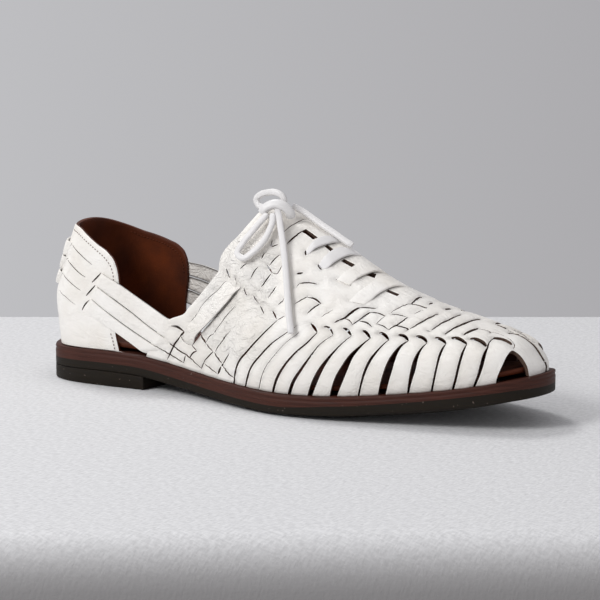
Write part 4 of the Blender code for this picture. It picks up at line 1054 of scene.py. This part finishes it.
def strip(left, right, lift, thick, edge, crown, place=onLast, twist=None, inside=7):
    # a leather strip between two edges on the surface: a flat top with a slight crown, quarter
    # rounds of radius edge at both sides, and a flat underside
    p, q = place(left[:, 0], left[:, 1], 0.0), place(right[:, 0], right[:, 1], 0.0)
    width = np.maximum(np.linalg.norm(q - p, axis=1), 2.2 * edge)[:, None]
    angle = np.linspace(0, np.pi / 2, 5)
    near = edge * (1 - np.cos(angle)) / width
    flat = edge / width + (1 - 2 * edge / width) * np.linspace(0, 1, inside)[1:-1]
    u = np.concatenate([near, flat, 1 - near[:, ::-1]], 1)
    fall = edge * (1 - np.sin(angle))
    drop = np.concatenate([fall, np.zeros(inside - 2), fall[::-1]])[None]
    lift = np.broadcast_to(np.asarray(lift, float), (len(left),))[:, None]
    twist = 0.0 if twist is None else twist[:, None] * u
    top = lift + twist + crown * (1 - (2 * u - 1) ** 2) - drop
    under = top[:, [-1, -1, 0, 0]] - thick + edge
    one = np.ones_like(width)
    u = np.concatenate([u, one, 0.85 * one, 0.15 * one, 0 * one], 1)
    lifts = np.concatenate([top, under], 1)
    at = left[:, None] + (right - left)[:, None] * u[..., None]
    points, faces = tube(place(at[..., 0], at[..., 1], lifts))
    # painted shade where the strip lies deepest and along its lower edges
    deep = np.clip((0.05 - lifts) / 0.9, 0, 1)
    deep[:, -4:] = (0.95, 0, 0, 0.95)
    return points, faces, deep.ravel()


facing = {
    # back and front edge of the strap that climbs beside the facing, by x and t, from its foot up
    "edges": (((102.0, -0.915), (104.5, -0.892), (111.1, -0.832), (119.2, -0.766), (126.8, -0.696),
               (130.9, -0.653), (134.8, -0.606), (136.6, -0.585)),
              ((109.6, -0.930), (112.1, -0.909), (116.3, -0.870), (123.9, -0.814), (130.8, -0.756),
               (138.9, -0.672), (142.1, -0.622), (143.4, -0.600))),
    "steps": 70, "lift": 0.9, "tilt": 1.1, "dive": 1.2, "thick": 1.0, "round": 0.2, "crown": 0.15,
    "crinkle": 0.8,
}


def makeFacingStrap():
    # one strip between the two edges, lower by dive where it isn't out, and tilted up towards its front
    f = facing
    left, right = (surfaceRoute(edge, f["steps"]) for edge in f["edges"])
    v = np.linspace(0, 1, f["steps"])
    # it comes up from under the braid, stands away along its front edge and goes down into its slit
    out = smoothStep(0.03, 0.2, v) * (1 - smoothStep(0.86, 0.99, v))
    points, faces, paintedShade = strip(left, right, f["lift"] - f["dive"] * (1 - out), f["thick"], f["round"],
                                  f["crown"], twist=f["tilt"] * out, inside=12)
    marks = {"paintedShade": paintedShade, "crinkle": 0 * paintedShade + f["crinkle"]}
    obj = addMesh("facing_strap", points, faces, [whiteLeather], marks=marks)
    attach(obj, "root")
    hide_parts("upper")


makeVamp()
makeFacingStrap()
print("vamp woven")

counter = {
    "rim": table("x lateral medial", (0, 87, 87), (4, 86.2, 85), (9, 85.9, 82.6), (20, 84.8, 78.4),
                 (30, 81, 76.1), (40, 76.7, 73.6), (50, 72.2, 70.1), (55, 68, 66.2), (58, 62.8, 60.5),
                 (60, 57, 52)),
    "front": table("share turn", (0, 0.995), (0.3, 0.982), (0.6, 0.985), (0.85, 0.997), (1, 1.0)),
    "columns": 150, "rows": 90, "wall": 2.2, "top": 0.25,
    "footDown": 0.25, "rimRound": 0.6, "halfLong": 40, "cutOver": 0.8,
}
# slits of the counter by height above the ground and turn round the heel: width, depth, path
counterSlits = {
    "both": (
        # where the heel straps go in, at the back
        (0.90, 1.4, ((76.0, 0.535), (68.6, 0.471))), (0.85, 1.4, ((67.5, 0.532), (60.6, 0.400))),
        (0.80, 1.4, ((58.9, 0.500), (51.9, 0.391))),
        # the straps' edges, pressed through from inside
        (0.50, 0.7, ((75.0, 0.551), (72.7, 0.625), (70.8, 0.683), (68.1, 0.753), (65.7, 0.811))),
        (0.60, 0.8, ((66.3, 0.541), (64.5, 0.606), (62.4, 0.667), (60.3, 0.724), (58.6, 0.776))),
        (0.50, 0.7, ((58.3, 0.513), (56.6, 0.580), (54.8, 0.644), (52.9, 0.705), (51.1, 0.760))),
        (0.35, 0.5, ((49.2, 0.516), (47.3, 0.586), (46.3, 0.628), (44.5, 0.676), (43.0, 0.721))),),
    # where the side straps come out
    "lateral": (
        (0.95, 1.4, ((61.7, 0.888), (58.9, 0.862), (56.1, 0.836))),
        (0.95, 1.4, ((54.7, 0.862), (51.9, 0.840), (48.6, 0.811))),
        (0.95, 1.4, ((46.5, 0.840), (43.7, 0.804), (40.4, 0.779))),),
    "medial": (
        (0.95, 1.4, ((62.6, 0.905), (54.9, 0.900))), (0.95, 1.4, ((54.2, 0.905), (46.9, 0.900))),
        (0.95, 1.4, ((46.2, 0.900), (39.2, 0.895)))),
}
# seams of the counter, by height and turn: along the rim and up the front edge
seams = {
    "rows": (((83.1, 0.471), (81.3, 0.602), (78.5, 0.699), (73.7, 0.820), (69.1, 0.904), (65.8, 0.939),
              (62.6, 0.958), (57.0, 0.974)),
             ((29.5, 0.958), (26.7, 0.965), (23.4, 0.971), (20.2, 0.974))),
    "pitch": 1.95, "long": 1.15, "wide": 0.6, "medialLowerAbove": 50,
}


def makeCounter():
    # a wall from the foot line up to the rim, with its rows closer together at the rim, and its slits
    c = counter
    turn = np.linspace(-1, 1, c["columns"] + 1)
    share = np.concatenate([np.linspace(0, 0.94, c["rows"] - 5),
                            1 - 0.06 * (1 - np.linspace(0, 1, 7)[1:]) ** 1.5])
    turns = turn[:, None] * follow(c["front"], "turn", "share", share)[None]
    x = shoe["wingFront"] * turn**2
    rim = np.where(turn < 0, follow(c["rim"], "lateral", "x", x), follow(c["rim"], "medial", "x", x))
    foot = lastSeat(x) - c["footDown"]
    z = foot[:, None] + (rim - foot)[:, None] * share[None]
    down = (rim - foot)[:, None] * (1 - share[None])
    aside = (1 - np.abs(turn))[:, None] * c["halfLong"]
    rounding = c["rimRound"] * np.exp(-(np.minimum(aside, down) / c["rimRound"]) ** 2)
    outer, inner = onHeel(z, turns, c["top"] - rounding), onHeel(z, turns, -c["wall"] + rounding * 0.5)
    points, faces, slotOf, _ = shell(outer, inner, wallSlot=1)
    obj = addMesh("heel_counter", points, faces, [whiteLeather, lining, cutEdge], slotOf,
                  {"paintedShade": np.zeros(len(points))}, sharp=60)
    high = c["top"] + c["cutOver"]
    cutters = [cutterFor(onHeel, np.array(path) * (1, side), wide, c["top"] - depth, high, ends=0.5)
               for side, own in ((-1, "lateral"), (1, "medial"))
               for wide, depth, path in counterSlits["both"] + counterSlits[own]]
    cutBy(obj, cutters, "counter", [whiteLeather, lining, cutEdge])
    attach(obj, "root")
    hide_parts("upper")


def stitchRow(place, path, lift):
    # short round-ended stitches along a path, each an eight-sided spindle half sunk in the leather
    route = surfaceRoute(path, 400, stretch=75)
    points = place(route[:, 0], route[:, 1], lift)
    run = np.concatenate([[0], np.cumsum(np.linalg.norm(np.diff(points, axis=0), axis=1))])

    def sampled(values, at):
        return np.stack([np.interp(at, run, values[:, k]) for k in range(3)], -1)

    at = np.arange(seams["pitch"] / 2, run[-1], seams["pitch"])
    centre = sampled(points, at)
    ahead = sampled(points, at + 0.1) - centre
    ahead /= np.linalg.norm(ahead, axis=1, keepdims=True)
    up = sampled(place(route[:, 0], route[:, 1], lift + 1) - points, at)
    across = np.cross(up, ahead)
    along = np.array((-0.5, -0.4, -0.15, 0.15, 0.4, 0.5)) * seams["long"]
    thick = np.array((0.15, 0.75, 1, 1, 0.75, 0.15)) * seams["wide"] / 2
    angle = np.linspace(0, 2 * np.pi, 8, endpoint=False)
    rings = (centre[:, None, None] + ahead[:, None, None] * along[None, :, None, None]
             + across[:, None, None] * (thick[:, None] * np.cos(angle))[None, :, :, None]
             + up[:, None, None] * (thick[:, None] * np.sin(angle))[None, :, :, None])
    return [(*tube(ring), np.zeros(len(along) * len(angle))) for ring in rings]


def makeStitches():
    # the same seams show outside in pale thread and inside in the lining's brown
    for name, material, slot, lift in (("counter_stitches", thread, "white_leather", counter["top"] + 0.02),
                                       ("lining_stitches", lining, "lining_brown", -counter["wall"] - 0.12)):
        parts = []
        for row in seams["rows"]:
            for side in (-1, 1):
                z, turn = np.array(row).T
                x = shoe["wingFront"] * turn**2
                drop = follow(counter["rim"], "lateral", "x", x) - follow(counter["rim"], "medial", "x", x)
                z = z - drop * (side > 0) * (z > seams["medialLowerAbove"])
                parts += stitchRow(onHeel, np.stack([z, turn * side], 1), lift)
        points, faces, _ = gathered(parts)
        obj = addMesh(name, points, faces, [material])
        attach(obj, "root")
        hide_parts("upper")


straps = {
    # the edges between the three side straps, by x and height above the ground, from the counter on
    "edges": (((46.6, 62.5), (61.5, 56.4), (72.7, 50.8), (83.1, 45.7), (94.6, 40.2), (103.0, 37.1)),
              ((44.4, 55.4), (57.1, 49.1), (70.3, 41.6), (81.9, 34.7), (91.2, 30.2), (101.0, 25.0)),
              ((42.0, 48.3), (56.9, 39.4), (67.3, 33.3), (79.7, 27.2), (86.5, 24.3), (95.4, 20.9)),
              ((37.6, 40.6), (47.2, 35.7), (57.3, 30.6), (68.7, 24.3), (77.3, 19.7), (83.5, 18.0))),
    "farEdges": (((48, 62.9), (55.8, 61.8), (70.5, 60.8), (84, 58.5), (106, 52.8), (124, 47)),
                 ((48, 54.6), (59.6, 53.3), (70.5, 52), (78.8, 50.4), (97, 45.5), (116, 39)),
                 ((48, 46.6), (61.2, 45.4), (70.2, 43.5), (80, 40.5), (95, 36), (108, 31)),
                 ((48, 39), (60, 37), (70, 34.5), (80, 31), (90, 27), (100, 22))),
    "apart": 0.8, "lift": 1.45, "thick": 1.5, "round": 0.35, "crown": 0.2, "steps": 60,
    "backDive": 1.9, "frontDive": 2.4, "sag": 0.2, "offSeat": 0.3, "crinkle": 0.15, "farCrinkle": 0.7,
    # the same straps round the back of the heel: height and turn of the upper and lower corner
    # where each goes in
    "loops": ((76.3, 68.4, 0.545, 0.485), (67.7, 60.4, 0.54, 0.42), (59.1, 51.7, 0.51, 0.40)),
    "loopSteps": 70, "loopSunk": -0.3, "loopRise": 2.4,
}


def makeStraps(side, name):
    # a strip between each edge and the next, drawn in by half of apart, that dives at both ends
    s = straps
    parts = []
    rows = s["edges" if side < 0 else "farEdges"]
    for upper, lower in zip(rows, rows[1:]):
        edges = []
        for which, shift in ((upper, -s["apart"] / 2), (lower, s["apart"] / 2)):
            route = smoothRoute(which, s["steps"])
            height = np.maximum(route[:, 1] + shift, lastSeat(route[:, 0]) + s["offSeat"])
            edges.append(np.stack([route[:, 0], tAtHeight(route[:, 0], height, side)], 1))
        along = np.linspace(0, 1, s["steps"])
        lift = s["lift"] - s["backDive"] * (1 - smoothStep(0.0, 0.045, along))
        lift -= s["frontDive"] * smoothStep(0.80, 0.97, along)
        lift -= s["sag"] * smoothStep(0.3, 0.6, along)
        parts.append(strip(edges[0], edges[1], lift, s["thick"], s["round"], s["crown"]))
    points, faces, paintedShade = gathered(parts)
    marks = {"paintedShade": paintedShade, "crinkle": 0 * paintedShade + s["farCrinkle" if side > 0 else "crinkle"]}
    obj = addMesh(name, points, faces, [whiteLeather], marks=marks)
    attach(obj, "root")
    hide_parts("upper")


def makeHeelLoops():
    # a strip between two heights, from turn to turn round the heel, sunk into the counter at both ends
    s = straps
    parts = []
    share = np.linspace(-1, 1, s["loopSteps"])
    standsOut = 1 - smoothStep(0.86, 1.0, np.abs(share))
    for high, low, highTurn, lowTurn in s["loops"]:
        top = np.stack([high + 0 * share, share * highTurn], 1)
        foot = np.stack([low + 0 * share, share * lowTurn], 1)
        lift = s["loopSunk"] + s["loopRise"] * standsOut
        parts.append(strip(foot, top, lift, s["thick"], s["round"], s["crown"], place=onHeel))
    points, faces, paintedShade = gathered(parts)
    obj = addMesh("heel_straps", points, faces, [whiteLeather], marks={"paintedShade": paintedShade})
    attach(obj, "root")
    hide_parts("upper")


makeCounter()
makeStitches()
for side, name in ((-1, "lateral_side_straps"), (1, "medial_side_straps")):
    makeStraps(side, name)
makeHeelLoops()
print("counter and straps made")

# in metres from the middle of the view: the bench's back and front, half its width, and its two drops
bench = {"behind": 0.276, "before": 0.272, "half": 2.4, "drop": 0.5, "backDrop": 0.02, "round": 0.03,
         # front is painted shade for the cloth's front edge, where it turns away from the light
         "cloth": "#E1E1E2", "clothDark": "#CDCDCE", "front": "#8F8D8D",
         "wallLeft": "#C4C4C7", "wallRight": "#B1B0B3", "wallStrength": 0.94}
# discs of light, in metres: how far right of the sole's middle, towards the camera and up, then the
# disc's width, and its watts
lights = {"window": (-1.35, 0.95, 1.25, 0.8, 21), "ceiling": (-0.5, -0.7, 1.5, 0.45, 8.5),
          "fill": (1.4, 1.0, 0.5, 1.0, 1.8)}
lightAim = (0, 0, 0.05)


def makeBench():
    # a flat cloth-covered top across the view, with a rounded front edge that falls away and is painted
    # darker as shade
    turn = np.radians(view["turn"])
    away = np.array([-np.sin(turn), np.cos(turn), 0])
    across = np.array([np.cos(turn), np.sin(turn), 0])
    centre = toWorld(view["target"]) * (1, 1, 0)
    angle = np.linspace(0, np.pi / 2, 9)
    r = bench["round"]
    front = [(-bench["before"] - r * np.sin(a), -r * (1 - np.cos(a))) for a in angle]
    back = [(bench["behind"], -bench["backDrop"]), (bench["behind"], 0.0)]
    profile = np.array(back + front + [(-bench["before"] - r, -bench["drop"])])
    ends = [centre + across * s * bench["half"] for s in (-1, 1)]
    points = np.concatenate([e + away * profile[:, :1] + np.array([0, 0, 1]) * profile[:, 1:] for e in ends])
    n = len(profile)
    k = np.arange(n - 1)
    faces = np.stack([k, k + 1, k + 1 + n, k + n], 1)
    # painted shade: none on the top, rising round the front edge to full down the drop
    shade = np.tile(np.concatenate([[0, 0], smoothStep(0.1, 0.8, angle / angle[-1]), [1]]), 2)
    linen = paleLinen("bench_linen", bench["cloth"], bench["clothDark"])
    obj = addMesh("bench_cloth", points, [faces[:, ::-1]], [linen], marks={"shade": shade}, world=True)


def addLight(name, spot, aim, size, power):
    # a disc of light at spot, turned to face aim
    data = bpy.data.lights.new(name, "AREA")
    data.shape, data.size, data.energy = "DISK", size, power
    lamp = bpy.data.objects.new(name, data)
    lamp.location = spot
    lamp.rotation_euler = Vector(np.array(aim) - np.array(spot)).to_track_quat("-Z", "Y").to_euler()
    bpy.context.scene.collection.objects.link(lamp)


def makeLight():
    # each disc's place is the sum of its three distances along right, towards the camera and up
    turn = np.radians(view["turn"])
    toCamera = np.array([np.sin(turn), -np.cos(turn), 0])
    right = np.array([np.cos(turn), np.sin(turn), 0])
    up = np.array([0, 0, 1])
    for name, (aside, near, high, size, power) in lights.items():
        addLight(name, aside * right + near * toCamera + high * up, lightAim, size, power)
    world = bpy.data.worlds.new("studio")
    bpy.context.scene.world = world
    world.use_nodes = True
    tree = world.node_tree
    sky = tree.nodes["Background"]
    # the wall fades a little from left to right across the view
    toward = addNode(tree, "TexCoord").outputs["Generated"]
    across = addNode(tree, "VectorMath", {"operation": "DOT_PRODUCT"}, n0=toward, n1=tuple(right))
    fade = spread(tree, across.outputs["Value"], -0.16, 0.16)
    tree.links.new(mixed(tree, fade, srgb(bench["wallLeft"]), srgb(bench["wallRight"])), sky.inputs["Color"])
    sky.inputs["Strength"].default_value = bench["wallStrength"]


makeBench()
makeLight()

crossing = {
    # left and right edge of each strap by x and t, from its lower end over the crest
    "lace_crossing_upper": (((171.5, -0.262), (171.4, -0.240), (171.9, -0.205), (172.3, -0.165),
                             (172.8, -0.125), (174.0, -0.075), (175.5, -0.010), (176.5, 0.060)),
                            ((173.0, -0.285), (173.8, -0.275), (174.4, -0.252), (175.5, -0.215),
                             (177.0, -0.170), (178.5, -0.125), (179.5, -0.070), (180.1, 0.060))),
    "lace_crossing_lower": (((181.3, -0.296), (181.4, -0.272), (181.9, -0.227), (182.2, -0.181),
                             (182.9, -0.128), (184.0, -0.080), (185.4, -0.010), (186.2, 0.060)),
                            ((183.9, -0.306), (185.9, -0.296), (186.9, -0.275), (187.8, -0.232),
                             (188.7, -0.185), (189.9, -0.125), (190.9, -0.060), (191.5, 0.060))),
    "strap_third": (((193.6, -0.320), (194.5, -0.290), (195.8, -0.226), (196.7, -0.160), (196.7, -0.100),
                     (196.4, 0.000), (196.4, 0.080)),
                    ((201.2, -0.308), (201.9, -0.276), (202.9, -0.235), (204.2, -0.180), (205.7, -0.110),
                     (206.7, -0.030), (207.3, 0.080))),
    "strap_fourth": (((205.4, -0.412), (206.4, -0.380), (207.5, -0.342), (208.9, -0.290), (209.9, -0.215),
                      (210.4, -0.150), (210.6, -0.060), (210.8, 0.080)),
                     ((213.6, -0.384), (215.7, -0.334), (216.9, -0.268), (218.0, -0.212), (219.3, -0.145),
                      (220.9, -0.070), (221.9, 0.080))),
    "steps": 40, "thick": 1.2, "round": 0.4, "crown": 0.2, "rise": 1.9,
}


def crossingStrap(name, low):
    # a strip between the strap's two edges, that rises from low by rise and comes down again
    c = crossing
    left, right = (surfaceRoute(edge, c["steps"]) for edge in c[name])
    v = np.linspace(0, 1, c["steps"])
    # up out of its slit, over the throat, and down on the far side
    swell = smoothStep(0, 0.2, v) * (1 - 0.6 * smoothStep(0.5, 0.8, v) - 0.4 * smoothStep(0.88, 1.0, v))
    return strip(left, right, low + c["rise"] * swell, c["thick"], c["round"], c["crown"])


def makeCrossings():
    # two crossings of flat lace, and two straps of the upper's leather in front of them
    for name in ("lace_crossing_upper", "lace_crossing_lower"):
        points, faces, paintedShade = crossingStrap(name, 0.6)
        obj = addMesh("flat_" + name, points, faces, [whiteLace], marks={"paintedShade": paintedShade})
        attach(obj, "root")
        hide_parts(name)
    points, faces, paintedShade = gathered([crossingStrap("strap_third", 0.5), crossingStrap("strap_fourth", 0.4)])
    obj = addMesh("throat_straps", points, faces, [whiteLeather], marks={"paintedShade": paintedShade})
    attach(obj, "root")
    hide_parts("upper")


makeCrossings()
print("stage lit and lace crossed")
